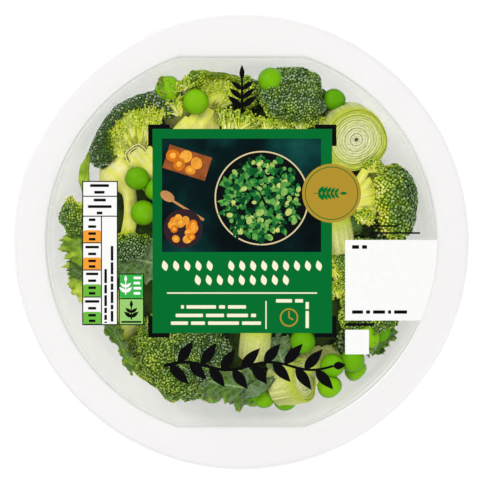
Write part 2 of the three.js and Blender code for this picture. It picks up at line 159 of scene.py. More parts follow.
def keep_inside(points):
    """Holds the food off the film, the floor and the wall, and inside the heap's own outline."""
    points = points.copy()
    radius = np.hypot(points[:, 0], points[:, 1])
    around = np.degrees(np.arctan2(points[:, 1], points[:, 0])) % 360
    inner = np.interp(around, HEAP_ANGLES, HEAP_REACH) - HEAP_ROUNDING
    drawn_in = inner + HEAP_ROUNDING * np.tanh((radius - inner) / HEAP_ROUNDING)
    too_far = (radius > inner) & (points[:, 2] > HEAP_BASE)
    points[:, :2] *= np.where(too_far, drawn_in / np.maximum(radius, 1e-6), 1)[:, None]
    points[:, 2] = np.clip(points[:, 2], FOOD_FLOOR, FOOD_TOP)
    room = np.interp(points[:, 2], wall_heights, wall_radii) - FOOD_GAP
    radius = np.hypot(points[:, 0], points[:, 1])
    shrink = np.minimum(1, room / np.maximum(radius, 1e-6))
    points[:, :2] *= shrink[:, None]
    limit = room - flat_cut(room)
    points[:, 1] = np.clip(points[:, 1], -limit, limit)
    return points


half_height = TRAY_HEIGHT / 2
print("room for food half way up:", round(float(np.interp(half_height, wall_heights, wall_radii)), 1), "mm")

# %% [markdown]
# An operator in Blender acts on whatever is selected, and the loaded CAD nodes still are. A few
# helpers keep that in hand. A finished piece is named, rides on the pack's one body, and hides the CAD
# node that it stands for.

# %% Selecting, editing and handing over a piece


def deselect_all():
    if bpy.context.object and bpy.context.object.mode != "OBJECT":
        bpy.ops.object.mode_set(mode="OBJECT")
    bpy.ops.object.select_all(action="DESELECT")


def make_active(piece):
    deselect_all()
    piece.select_set(True)
    bpy.context.view_layer.objects.active = piece


def in_edit_mode(piece, *steps):
    """Selects all of the piece in edit mode, runs the steps, and comes back to object mode."""
    make_active(piece)
    bpy.ops.object.mode_set(mode="EDIT")
    bpy.ops.mesh.select_all(action="SELECT")
    for step in steps:
        step()
    bpy.ops.object.mode_set(mode="OBJECT")


def apply_modifier(piece, kind, **settings):
    make_active(piece)
    modifier = piece.modifiers.new(kind.title(), kind)
    for name, value in settings.items():
        setattr(modifier, name, value)
    bpy.ops.object.modifier_apply(modifier=modifier.name)


def spun(name, line, steps, *more):
    """A skin made from a line of radii and heights that is spun round the axis and closed up."""
    mesh = bpy.data.meshes.new(name)
    edges = [(i, i + 1) for i in range(len(line) - 1)]
    mesh.from_pydata([(radius * MM, 0, height * MM) for radius, height in line], edges, [])
    piece = bpy.data.objects.new(name, mesh)
    bpy.context.scene.collection.objects.link(piece)
    in_edit_mode(
        piece,
        lambda: bpy.ops.mesh.spin(steps=steps, angle=2 * math.pi, center=(0, 0, 0), axis=(0, 0, 1)),
        lambda: bpy.ops.mesh.select_all(action="SELECT"),
        lambda: bpy.ops.mesh.remove_doubles(threshold=1e-6),
        *more,
        lambda: bpy.ops.mesh.normals_make_consistent(inside=False),
    )
    return piece


def read_points(piece):
    points = np.empty(len(piece.data.vertices) * 3)
    piece.data.vertices.foreach_get("co", points)
    return points.reshape(-1, 3) / MM


def write_points(piece, points):
    piece.data.vertices.foreach_set("co", (points * MM).ravel())
    piece.data.update()


def let_light_pass(piece):
    """Clear film and thin ink leave the food under them as bright as it is beside them."""
    piece.visible_shadow = False
    piece.visible_diffuse = False


def hand_over(piece, finish, node=None):
    """Gives a piece its material and its body, and hides the CAD node that it stands for."""
    piece.data.materials.clear()
    piece.data.materials.append(finish)
    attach(piece, "root")
    if node:
        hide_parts(node)
    print(f"{piece.name}: {len(piece.data.vertices)} points, {len(piece.data.polygons)} faces")
    return piece


deselect_all()
print("nodes of the CAD model:", sorted(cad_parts))

# %% [markdown]
# Most food is made of small things that repeat: buds, stems, peas. Each is modelled once as a master,
# read into arrays, and copied with its own place, turn and size, which is far quicker than thousands
# of objects. A part made this way is a tuple of points, triangles and marks. A mark is a value for
# each point, such as how yellow or how shaded it is, which the material reads as an attribute.

# %% Parts made of arrays


def add_mark(mesh, mark, values):
    """Gives the mesh one value for each point, which a material reads as an attribute."""
    layer = mesh.attributes.new(mark, "FLOAT", "POINT")
    layer.data.foreach_set("value", values.astype(np.float32))


def mesh_from_arrays(name, parts, smooth=True):
    """Joins parts into one object at the origin, with its marks as attributes."""
    starts = np.cumsum([0] + [len(points) for points, _, _ in parts])
    points = np.concatenate([points for points, _, _ in parts])
    triangles = np.concatenate([faces + start for (_, faces, _), start in zip(parts, starts)])
    mesh = bpy.data.meshes.new(name)
    mesh.vertices.add(len(points))
    mesh.vertices.foreach_set("co", (points * MM).ravel())
    mesh.loops.add(triangles.size)
    mesh.loops.foreach_set("vertex_index", triangles.ravel().astype(np.int32))
    mesh.polygons.add(len(triangles))
    mesh.polygons.foreach_set("loop_start", np.arange(0, triangles.size, 3, dtype=np.int32))
    mesh.update(calc_edges=True)
    mesh.polygons.foreach_set("use_smooth", np.full(len(triangles), smooth))
    for mark in parts[0][2]:
        add_mark(mesh, mark, np.concatenate([np.broadcast_to(marks[mark], len(p)) for p, _, marks in parts]))
    piece = bpy.data.objects.new(name, mesh)
    bpy.context.scene.collection.objects.link(piece)
    return piece


def take_master(piece):
    """Reads a modelled master into arrays and removes the object."""
    piece.data.calc_loop_triangles()
    triangles = np.array([t.vertices[:] for t in piece.data.loop_triangles])
    points = read_points(piece) * MM
    bpy.data.objects.remove(piece)
    return points, triangles


def stand(x, y, z, azimuth=0, tilt=0, spin=0):
    """The 4x4 matrix that stands a piece at a place with its +Z leaning by `tilt` towards `azimuth`."""
    lean, towards = math.radians(tilt), math.radians(azimuth)
    axis = Vector((math.sin(lean) * math.cos(towards), math.sin(lean) * math.sin(towards), math.cos(lean)))
    turn = UP.rotation_difference(axis) @ Quaternion(UP, math.radians(spin))
    return np.array(Matrix.LocRotScale(Vector((x, y, z)), turn, None))


def placed(part, matrix):
    points, triangles, marks = part
    return keep_inside(points @ matrix[:3, :3].T + matrix[:3, 3]), triangles, marks


def axes_along(directions, rng):
    """For each direction, three axes as rows: two across it at a random spin, and itself."""
    directions = directions / np.linalg.norm(directions, axis=1, keepdims=True)
    helper = np.where(np.abs(directions[:, 2:]) < 0.9, [[0.0, 0, 1]], [[1.0, 0, 0]])
    across = np.cross(helper, directions)
    across /= np.linalg.norm(across, axis=1, keepdims=True)
    other = np.cross(directions, across)
    spin = rng.uniform(0, 2 * math.pi, len(directions))[:, None]
    first = across * np.cos(spin) + other * np.sin(spin)
    return np.stack([first, np.cross(directions, first), directions], axis=1)


def copies(master, places, axes, sizes):
    """Many copies of a master as one set of arrays; sizes holds a number or three for each copy."""
    points, triangles = master
    sizes = np.asarray(sizes).reshape(len(places), 1, -1)
    made = places[:, None, :] + (points[None] * sizes) @ axes
    offsets = (np.arange(len(places)) * len(points))[:, None, None]
    return made.reshape(-1, 3), (triangles[None] + offsets).reshape(-1, 3)


print("arrays ready; scatter(1) =", round(scatter(1), 4))

# %% [markdown]
# ## Shared effects
# Real food is never one even colour. One node group gives a soft mottle that any material can
# multiply its colour by, and one turns fine noise into a bump normal. Each is built once with named
# sockets and placed in the materials with its own values. Groups hold no shaders.

# %% Node groups


def new_group(name, inputs, outputs):
    group = bpy.data.node_groups.new(name, "ShaderNodeTree")
    for socket, kind, value in inputs:
        made = group.interface.new_socket(socket, in_out="INPUT", socket_type="NodeSocket" + kind)
        if value is not None:
            made.default_value = value
    for socket, kind in outputs:
        group.interface.new_socket(socket, in_out="OUTPUT", socket_type="NodeSocket" + kind)
    return group, group.nodes.new("NodeGroupInput"), group.nodes.new("NodeGroupOutput")


def connect(tree, *pairs):
    for source, target in pairs:
        tree.links.new(source, target)


def maths(tree, operation, first, second=None, clamp=False):
    node = tree.nodes.new("ShaderNodeMath")
    node.operation, node.use_clamp = operation, clamp
    for socket, value in zip(node.inputs, (first, second)):
        if isinstance(value, (int, float)):
            socket.default_value = value
        elif value is not None:
            tree.links.new(value, socket)
    return node.outputs[0]


mottle, mottle_in, mottle_out = new_group(
    "Mottle", [("Vector", "Vector", None), ("Scale", "Float", 200.0), ("Depth", "Float", 0.1)],
    [("Factor", "Float")])
noise = mottle.nodes.new("ShaderNodeTexNoise")
noise.inputs["Detail"].default_value = 3
connect(mottle, (mottle_in.outputs["Vector"], noise.inputs["Vector"]),
        (mottle_in.outputs["Scale"], noise.inputs["Scale"]))
centred = maths(mottle, "SUBTRACT", noise.outputs["Fac"], 0.5)
swing = maths(mottle, "MULTIPLY", centred, maths(mottle, "MULTIPLY", mottle_in.outputs["Depth"], 4.0))
connect(mottle, (maths(mottle, "ADD", swing, 1.0), mottle_out.inputs["Factor"]))

grain, grain_in, grain_out = new_group(
    "Fine grain", [("Vector", "Vector", None), ("Scale", "Float", 800.0), ("Height", "Float", 0.0001)],
    [("Normal", "Vector")])
noise = grain.nodes.new("ShaderNodeTexNoise")
bump = grain.nodes.new("ShaderNodeBump")
connect(grain, (grain_in.outputs["Vector"], noise.inputs["Vector"]),
        (grain_in.outputs["Scale"], noise.inputs["Scale"]),
        (grain_in.outputs["Height"], bump.inputs["Distance"]), (noise.outputs["Fac"], bump.inputs["Height"]),
        (bump.outputs["Normal"], grain_out.inputs["Normal"]))


print("node groups:", [group.name for group in bpy.data.node_groups])

# %% [markdown]
# A material is put together with a small helper. It holds the node tree and the Principled shader,
# takes the even values at once, and has a method for each wiring that comes back again and again.

# %% Material helper


def linear(colour):
    """A colour given as 0 to 255 per channel, as a screen shows it, in the linear values of a shader."""
    shares = np.array(colour) / 255
    return (*np.where(shares <= 0.04045, shares / 12.92, ((shares + 0.055) / 1.055) ** 2.4), 1.0)


class Finish:
    """A material under construction: its tree, its Principled shader and a few quick wirings."""

    def __init__(self, name, **sockets):
        self.material = bpy.data.materials.new(name)
        self.material.use_nodes = True
        self.tree = self.material.node_tree
        self.shader = self.tree.nodes["Principled BSDF"]
        for socket, value in sockets.items():
            self.shader.inputs[socket.replace("_", " ")].default_value = value
        self.place = self.tree.nodes.new("ShaderNodeTexCoord").outputs["Object"]

    def mark(self, name):
        node = self.tree.nodes.new("ShaderNodeAttribute")
        node.attribute_name = name
        return node.outputs["Fac"]

    def effect(self, group, **sockets):
        node = self.tree.nodes.new("ShaderNodeGroup")
        node.node_tree = group
        self.tree.links.new(self.place, node.inputs["Vector"])
        for socket, value in sockets.items():
            node.inputs[socket].default_value = value
        return node.outputs[0]

    def ramp(self, value, *stops):
        node = self.tree.nodes.new("ShaderNodeValToRGB")
        self.tree.links.new(value, node.inputs["Fac"])
        elements = node.color_ramp.elements
        while len(elements) < len(stops):
            elements.new(1.0)
        for element, (position, colour) in zip(elements, stops):
            element.position, element.color = position, linear(colour)
        return node.outputs["Color"]

    def blend(self, share, first, second, mode="MIX"):
        node = self.tree.nodes.new("ShaderNodeMix")
        node.data_type, node.blend_type = "RGBA", mode
        for index, value in ((0, share), (6, first), (7, second)):
            if isinstance(value, bpy.types.NodeSocket):
                self.tree.links.new(value, node.inputs[index])
            else:
                node.inputs[index].default_value = value if index == 0 else linear(value)
        return node.outputs[2]

    def towards_edge(self, blend):
        """0 where the surface faces the eye and 1 where it is seen edge on."""
        node = self.tree.nodes.new("ShaderNodeLayerWeight")
        node.inputs["Blend"].default_value = blend
        return node.outputs["Facing"]

    def scaled(self, colour, *factors):
        """The colour multiplied by one or more values."""
        for factor in factors:
            node = self.tree.nodes.new("ShaderNodeVectorMath")
            node.operation = "SCALE"
            self.tree.links.new(colour, node.inputs[0])
            self.tree.links.new(factor, node.inputs["Scale"])
            colour = node.outputs[0]
        return colour

    def feed(self, socket, value):
        self.tree.links.new(value, self.shader.inputs[socket])
        return self


print("middle grey in linear values:", round(float(linear((128, 128, 128))[0]), 3))

# %% [markdown]
# ## Camera, light and floor
# The photograph looks straight down from some distance, so that one pixel is 0.39 mm at the flange.
# The camera stands over the pack's centre with a long lens. A large soft light hangs above it, a
# little towards the upper left, a second one fills in from the other side, and a weak white sky
# softens the shadows. The sky is lighter to the eye than its light is, so that the background stays
# pale from the side. The floor is almost white and glows a little, as a light table does, so that the
# tray's plastic has a bright ground behind it.

# %% Camera and light
PHOTO_PIXELS = 483
PIXEL = 0.39                          # millimetres on the flange for one pixel of the photograph
PHOTO_CENTRE = (241.25, 241.75)       # the pack's centre in the photograph, in pixels
CAMERA_HEIGHT = 1.1
SENSOR = 36
SKY_LIGHT, SKY_SEEN_EXTRA = 0.52, 0.2

camera = bpy.data.objects.new("camera", bpy.data.cameras.new("camera"))
bpy.context.scene.collection.objects.link(camera)
camera.location = (0, 0, CAMERA_HEIGHT)
camera.data.sensor_width = SENSOR
camera.data.lens = SENSOR * (CAMERA_HEIGHT - TRAY_HEIGHT * MM) / (PHOTO_PIXELS * PIXEL * MM)
camera.data.shift_x = (PHOTO_PIXELS / 2 - PHOTO_CENTRE[0]) / PHOTO_PIXELS
camera.data.shift_y = -(PHOTO_PIXELS / 2 - PHOTO_CENTRE[1]) / PHOTO_PIXELS
bpy.context.scene.camera = camera


def at_pixel(x, y):
    """The place on the flange, in millimetres, that is seen at a pixel of the photograph."""
    return (x - PHOTO_CENTRE[0]) * PIXEL, (PHOTO_CENTRE[1] - y) * PIXEL


def soft_light(name, place, size, power):
    lamp = bpy.data.objects.new(name, bpy.data.lights.new(name, "AREA"))
    bpy.context.scene.collection.objects.link(lamp)
    lamp.data.shape, lamp.data.size, lamp.data.energy = "DISK", size, power
    lamp.location = place
    lamp.rotation_euler = (-Vector(place)).to_track_quat("-Z", "Y").to_euler()
    return lamp


soft_light("key", (-1.5, 1.5, 2.1), 1.6, 36)
soft_light("fill", (1.5, -1.3, 2.2), 2.0, 26)
world = bpy.context.scene.world or bpy.data.worlds.new("studio")
bpy.context.scene.world = world
world.use_nodes = True
world.node_tree.nodes["Background"].inputs["Color"].default_value = (1, 1, 1, 1)
sky = world.node_tree
seen = sky.nodes.new("ShaderNodeLightPath").outputs["Is Camera Ray"]
sky_strength = maths(sky, "ADD", maths(sky, "MULTIPLY", seen, SKY_SEEN_EXTRA), SKY_LIGHT)
connect(sky, (sky_strength, sky.nodes["Background"].inputs["Strength"]))
bpy.context.scene.view_settings.view_transform = "Standard"
print("lens", round(camera.data.lens, 1), "mm")

# %% The floor
deselect_all()
bpy.ops.mesh.primitive_plane_add(size=4)
floor = bpy.context.object
floor.name = "floor"
paper = Finish("white paper", Roughness=0.9, Emission_Strength=0.3, Specular_IOR_Level=0.1)
paper.shader.inputs["Emission Color"].default_value = (1, 1, 1, 1)
sheet_tone = paper.ramp(
    paper.effect(mottle, Scale=3.0, Depth=0.005), (0, (254, 254, 254)), (1, (255, 255, 255)))
paper.feed("Base Color", paper.scaled(sheet_tone))
floor.data.materials.append(paper.material)
print("floor", floor.dimensions[:2])

# %% [markdown]
# ## Tray
# The real tray is formed from one hot sheet, so every edge is round. The section is drawn as a line,
# spun round the axis in edit mode, pressed in at the two flats, and given its thickness with
# Solidify. The plastic is milky. The sheet is drawn thin over the wall, where the food shows through
# it, and stays thick in the flange, which looks almost white. Two marks on the points say where the
# flange and the stacking step are, and the material reads them to make the plastic denser there. At
# the step it is also darker, which is painted shade. Thin milky plastic scatters light on instead of
# stopping it, so the tray throws no shadow on the food.

# %% Tray
TRAY_STEPS = 192
RISER_TOP = 44.9        # where the stacking step turns onto the flange
RISER_TURN = 0.4
STEP_FOOT = (41.5, 42.3)        # the heights between which the wall turns into the step
LIP_RADIUS = 85
PLASTIC_ALPHA = 0.22            # of the thin wall, seen straight on
FLANGE_EXTRA, FLANGE_COLOUR = 0.55, (245, 243, 243)
# The step's darker colour is painted shade.
STEP_EXTRA, STEP_SHADE_COLOUR = 0.1, (184, 185, 177)
EDGE_EXTRA = 0.06               # more where the wall is seen at an angle

tray = spun("tray_visual", section, TRAY_STEPS)
write_points(tray, press_flats(read_points(tray)))
apply_modifier(tray, "SOLIDIFY", thickness=SHEET * MM, offset=0)
make_active(tray)
bpy.ops.object.shade_smooth_by_angle(angle=math.radians(40))

points = read_points(tray)
on_lip = np.hypot(points[:, 0], points[:, 1]) > LIP_RADIUS
on_rim = np.maximum(smoothstep(points[:, 2], RISER_TOP, RISER_TOP + RISER_TURN), on_lip)
add_mark(tray.data, "flange", on_rim)
add_mark(tray.data, "step", smoothstep(points[:, 2], *STEP_FOOT) * (1 - on_rim))

plastic = Finish("milky plastic", Roughness=0.2, Specular_IOR_Level=0.6)
on_flange, on_step = plastic.mark("flange"), plastic.mark("step")
alpha = maths(plastic.tree, "MULTIPLY", plastic.towards_edge(0.5), EDGE_EXTRA)
for mark, extra in ((on_flange, FLANGE_EXTRA), (on_step, STEP_EXTRA)):
    alpha = maths(plastic.tree, "ADD", alpha, maths(plastic.tree, "MULTIPLY", mark, extra))
plastic.feed("Alpha", maths(plastic.tree, "ADD", alpha, PLASTIC_ALPHA))
milk = plastic.effect(mottle, Scale=60.0, Depth=0.06)
tone = plastic.ramp(milk, (0.9, (206, 204, 200)), (1.0, (211, 209, 205)))
# At the step the colour darkens into painted shade.
tone = plastic.blend(on_flange, plastic.blend(on_step, tone, STEP_SHADE_COLOUR), FLANGE_COLOUR)
plastic.feed("Base Color", tone).feed("Normal", plastic.effect(grain, Scale=220.0, Height=0.00012))
hand_over(tray, plastic.material, "tray").visible_shadow = False

# %% [markdown]
# ## Lidding film
# The film is a clear disc that is heat sealed onto the flange. Where the sealing ring pressed it,
# it has a band that is a hair lower with a fine line on each side. A disc is added, extruded to the
# film's thickness, and the band is inset and moved down. A clear film shows mostly at grazing angles,
# so its alpha rises where it is seen edge on.

# %% Film
FILM_THICKNESS = 0.3
FILM_MARGIN = 0.6
SEAL_OUTER_INSET = 3.0
SEAL_WIDTH = 5.6
SEAL_DROP = 0.06
SEAL_LINE = 0.25
FILM_ALPHA, FILM_EDGE_ALPHA = 0.002, 0.3

deselect_all()
bpy.ops.mesh.primitive_circle_add(
    vertices=TRAY_STEPS, radius=(FLANGE_RADIUS - FILM_MARGIN) * MM, fill_type="NGON",
    location=(0, 0, TRAY_HEIGHT * MM))
film = bpy.context.object
film.name = film.data.name = "lidding_film_visual"
bpy.ops.object.transform_apply(location=True, rotation=True, scale=True)


def move_by(height):
    return lambda: bpy.ops.transform.translate(value=(0, 0, height * MM))


in_edit_mode(
    film,
    lambda: bpy.ops.mesh.extrude_region_move(TRANSFORM_OT_translate={"value": (0, 0, FILM_THICKNESS * MM)}),
    lambda: bpy.ops.mesh.inset(thickness=SEAL_OUTER_INSET * MM),
    lambda: bpy.ops.mesh.inset(thickness=SEAL_LINE * MM),
    move_by(-SEAL_DROP),
    lambda: bpy.ops.mesh.inset(thickness=SEAL_WIDTH * MM),
    lambda: bpy.ops.mesh.inset(thickness=SEAL_LINE * MM),
    move_by(SEAL_DROP),
    lambda: bpy.ops.mesh.select_all(action="SELECT"),
    lambda: bpy.ops.mesh.normals_make_consistent(inside=False),
)
clear = Finish("clear film", Roughness=0.1, IOR=1.45)
clear.shader.inputs["Base Color"].default_value = (0.6, 0.62, 0.6, 1)
alpha = maths(clear.tree, "MULTIPLY", clear.towards_edge(0.25), FILM_EDGE_ALPHA)
alpha = maths(clear.tree, "ADD", alpha, FILM_ALPHA, clamp=True)
clear.feed("Alpha", alpha).feed("Normal", clear.effect(grain, Scale=14.0, Height=0.0006))
let_light_pass(hand_over(film, clear.material, "lidding_film"))

# %% [markdown]
# ## Broccoli
# A floret is a trunk that forks into branches, and each branch ends in a lobe that is packed with
# round buds. The buds give broccoli its look, so every one that can be seen is a real small form.
# Four masters are modelled: a bud that is closed underneath, a dark core for each lobe whose colour
# is painted shade under the buds, and two stems that can be bent along a curve, a plain one for thin
# branches and a fine one for thick trunks.

# %% Masters for broccoli
deselect_all()
bpy.ops.mesh.primitive_uv_sphere_add(segments=6, ring_count=4, radius=1)
bud = bpy.context.object


def merge_underside():
    """Pulls the lowest ring of the sphere into its centre, which closes the bud with fewer faces."""
    bpy.ops.mesh.select_all(action="DESELECT")
    bpy.ops.object.mode_set(mode="OBJECT")
    for vertex in bud.data.vertices:
        vertex.select = vertex.co.z < -0.5
    bpy.ops.object.mode_set(mode="EDIT")
    bpy.ops.mesh.merge(type="CENTER")


in_edit_mode(bud, merge_underside)
BUD = take_master(bud)

# The dark core of a lobe: its colour is painted shade under the buds.
bpy.ops.mesh.primitive_ico_sphere_add(subdivisions=2, radius=1)
SHADE_CORE = take_master(bpy.context.object)


def stem_master(sides, rings):
    """A straight stem of radius 1 and height 1, as a disc that is extruded once for each ring."""
    deselect_all()
    bpy.ops.mesh.primitive_circle_add(vertices=sides, radius=1, fill_type="TRIFAN")
    grow = lambda: bpy.ops.mesh.extrude_region_move(TRANSFORM_OT_translate={"value": (0, 0, 1 / rings)})
    in_edit_mode(
        bpy.context.object, *[grow] * rings,
        lambda: bpy.ops.mesh.select_all(action="SELECT"),
        lambda: bpy.ops.mesh.normals_make_consistent(inside=False),
    )
    return take_master(bpy.context.object)


STEM = stem_master(8, 6)
TRUNK = stem_master(36, 24)
print("triangles: bud", len(BUD[1]), "heart", len(SHADE_CORE[1]), "stem", len(STEM[1]), "trunk", len(TRUNK[1]))

# %% [markdown]
# A stem follows a curve with one bend: from its start, drawn towards a middle point, to its end. Its
# rings are set square to the curve, and its thickness changes evenly from one end to the other. A
# trunk can widen towards its root end, and its streaks are lines in the two marks.

# %% Bending a stem along a curve


def bent_stem(start, bend, end, first, last, tint, flare=None, ridges=0.0, cut=None, shade=(0.5, 0.8),
              streaks=0.0, form=STEM):
    """A stem from start to end; `cut` is the height in local y that a knife has left."""
    points, triangles = form
    along = points[:, 2]
    if flare is not None:
        along = smoothstep(along, 0, 1) * 0.25 + along * 0.75
    start, bend, end = (np.array(p, float) for p in (start, bend, end))
    step = along[:, None]
    curve = (1 - step) ** 2 * start + 2 * step * (1 - step) * bend + step ** 2 * end
    tangent = 2 * (1 - step) * (bend - start) + 2 * step * (end - bend)
    tangent /= np.linalg.norm(tangent, axis=1, keepdims=True) + 1e-9
    helper = np.array([0.0, 1, 0]) if abs(tangent[0, 1]) < 0.9 else np.array([1.0, 0, 0])
    side = np.cross(tangent, helper)
    side /= np.linalg.norm(side, axis=1, keepdims=True)
    other = np.cross(side, tangent)
    radius = first + (last - first) * along
    if flare is not None:
        swell = smoothstep(along, 0.42, 0.72)
        radius = first + (last - first) * swell
        radius = radius * np.sqrt(np.clip(1 - ((along - flare) / (1 - flare)).clip(0) ** 2, 0.02, 1))
    around = np.arctan2(points[:, 1], points[:, 0])
    radius = radius * np.hypot(points[:, 0], points[:, 1]) * (1 + ridges * np.sin(3 * around + 5 * along))
    made = curve + radius[:, None] * (np.cos(around)[:, None] * side + np.sin(around)[:, None] * other)
    if cut is not None:
        made[:, 1] = np.minimum(made[:, 1], cut)
    tints = tint if np.isscalar(tint) else tint[0] + (tint[1] - tint[0]) * along
    shades = shade[0] + (shade[1] - shade[0]) * along
    lines = np.sin(5 * around + 4 * along) * np.sin(13 * around - 3 * along) + 0.6 * ripple(made, 4.0)
    return made, triangles, {"tint": tints - 0.4 * streaks * lines, "shade": shades + streaks * lines}


print("one bent stem:", len(bent_stem((0, 0, 0), (1, 0, 1), (1, 0, 3), 1, 0.5, 0.3)[0]), "points")

# %% [markdown]
# A lobe's buds are spread evenly over a sphere. Those that would lie inside a neighbouring lobe or
# under the crown's rim are left out. A bud's tint goes from yellow-green at the rim to blue-green on
# top. Its shade mark carries painted shade: it is darker in the grooves between lobes, where little
# light comes, and at its base, with a painted highlight at its tip.

# %% Buds on the lobes
BUD_SPACING = 1.0        # distance between two buds, in bud sizes
BUD_LENGTH = 1.15        # height of a bud over its width
RIM_ANGLE = 108          # buds end this many degrees from the crown's top


def sphere_points(count):
    height = 1 - 2 * (np.arange(count) + 0.5) / count
    around = GOLDEN_TURN * np.arange(count)
    flat = np.sqrt(1 - height ** 2)
    return np.stack([flat * np.cos(around), flat * np.sin(around), height], axis=1)


def lobe_buds(rng, centres, radii, crown, size, tint_of, rim=RIM_ANGLE, flat=1.0):
    """All buds of a crown as one part. tint_of gives the tint from a bud's place."""
    places, outward = [], []
    for index, (centre, radius) in enumerate(zip(centres, radii)):
        count = max(8, int(4 * math.pi * (radius / (BUD_SPACING * size)) ** 2 / 0.866))
        normals = sphere_points(count) + rng.normal(0, 0.035, (count, 3))
        spots = centre + normals * (radius + 0.5 * ripple(centre + normals * radius, 4.0))[:, None]
        keep = np.degrees(np.arctan2(np.hypot(spots[:, 0], spots[:, 1]), spots[:, 2])) < rim
        keep &= np.einsum("ij,ij->i", normals, spots) > -0.15 * crown
        for other, (far_centre, far_radius) in enumerate(zip(centres, radii)):
            if other != index:
                keep &= np.linalg.norm(spots - far_centre, axis=1) > far_radius - 0.2 * size
        places.append(spots[keep])
        outward.append(normals[keep])
    places, outward = np.concatenate(places), np.concatenate(outward)
    sizes = 0.5 * size * rng.uniform(0.82, 1.22, len(places))
    shape = np.stack([sizes, sizes, sizes * BUD_LENGTH], axis=1)
    lean = outward + 0.25 * rng.normal(0, 1, outward.shape)
    points, triangles = copies(BUD, places, axes_along(lean, rng), shape)
    bud_points = len(BUD[0])
    # Painted shade: buds deep in the grooves between lobes are darker.
    groove_light = smoothstep(np.linalg.norm(places / (1, 1, flat), axis=1) / crown, 0.62, 0.98)
    bright = (0.42 + 0.58 * groove_light) * rng.uniform(0.5, 1.6, len(places)) * (1 + 0.22 * ripple(places, 5.0))
    # Painted shade at the base of each bud and a painted highlight at its tip.
    tip = smoothstep(BUD[0][:, 2], -0.4, 0.9)
    shade = (bright[:, None] * tip[None]).ravel()
    tint = np.repeat(tint_of(places) + rng.normal(0, 0.05, len(places)), bud_points)
    return points, triangles, {"tint": np.clip(tint, 0, 1), "shade": np.clip(shade, 0, 1)}


print("buds on a lobe of 6 mm with 1 mm buds: about", int(4 * math.pi * (6 / BUD_SPACING) ** 2 / 0.866))

# %% [markdown]
# A whole floret has its lobes over the top of the crown, each on its own branch, with thin side stems
# that fill the underside. A floret that was cut in half shows its inside: a fan of branches that the
# knife has levelled, with dark slits between them, and lobes only round the rim and below the cut. For
# such a half, `half` holds the lobes' sizes at the rim's two ends, and `flat` makes its crown lower.

# %% Inside of a half floret
LOBE_REACH = 0.7         # a lobe's centre, in crown radii
RIM_HALF = 104           # a half crown's rim ends this many degrees to each side
RIM_ROWS = ((6, 1.0), (32, 0.85), (60, 0.6))    # degrees under the cut, and the share of the rim's length
TRUNK_TINT = 0.06
FAN_STRANDS = 230
TIP_BUDS = 5             # small buds along the end of each strand
KNOT_RINGS = 4           # fine curved lines where a side branch was cut across
BRANCH_TINT = (0.2, 0.36)
# How dark the painted shade of a lobe's core is.
CORE_PAINTED_SHADE = 0.06


def cap_directions(count, widest):
    fraction = (np.arange(count) + 0.5) / count
    height = 1 - fraction * (1 - math.cos(math.radians(widest)))
    around = GOLDEN_TURN * np.arange(count)
    flat = np.sqrt(1 - height ** 2)
    return np.stack([flat * np.cos(around), flat * np.sin(around), height], axis=1)


def rim_lobes(rng, crown, shares, flat):
    """Lobes of a half crown as centres and radii; `shares` are the radii at the rim's two ends, in crowns."""
    centres, radii = [], []
    for below, width in RIM_ROWS:
        angle = -RIM_HALF * width
        while angle < RIM_HALF * width:
            share = np.interp(angle, (-RIM_HALF, RIM_HALF), shares) * rng.uniform(0.88, 1.12)
            under, turn = math.radians(below + rng.normal(0, 3)), math.radians(angle)
            level = math.cos(under)
            way = np.array([level * math.sin(turn), -math.sin(under), level * math.cos(turn)])
            centres.append(way * (1, 1, flat) * crown * (1 - share))
            radii.append(crown * share)
            angle += math.degrees(1.15 * share / (1 - share))
    return np.array(centres), np.array(radii)


def trunk(crown, stalk, neck, cut_end, cut, root, sway):
    start, end = (root, 0, -0.3 * crown), (root - sway, 0, -stalk)
    last = cut_end or neck * 0.85
    flare = 0.7 if cut_end else None
    return bent_stem(start, (root + sway, 0, -0.7 * stalk), end, neck * 1.1, last, (0.14, TRUNK_TINT),
                     flare=flare, ridges=0.05, cut=cut, shade=(0.66, 0.72), streaks=0.22, form=TRUNK)


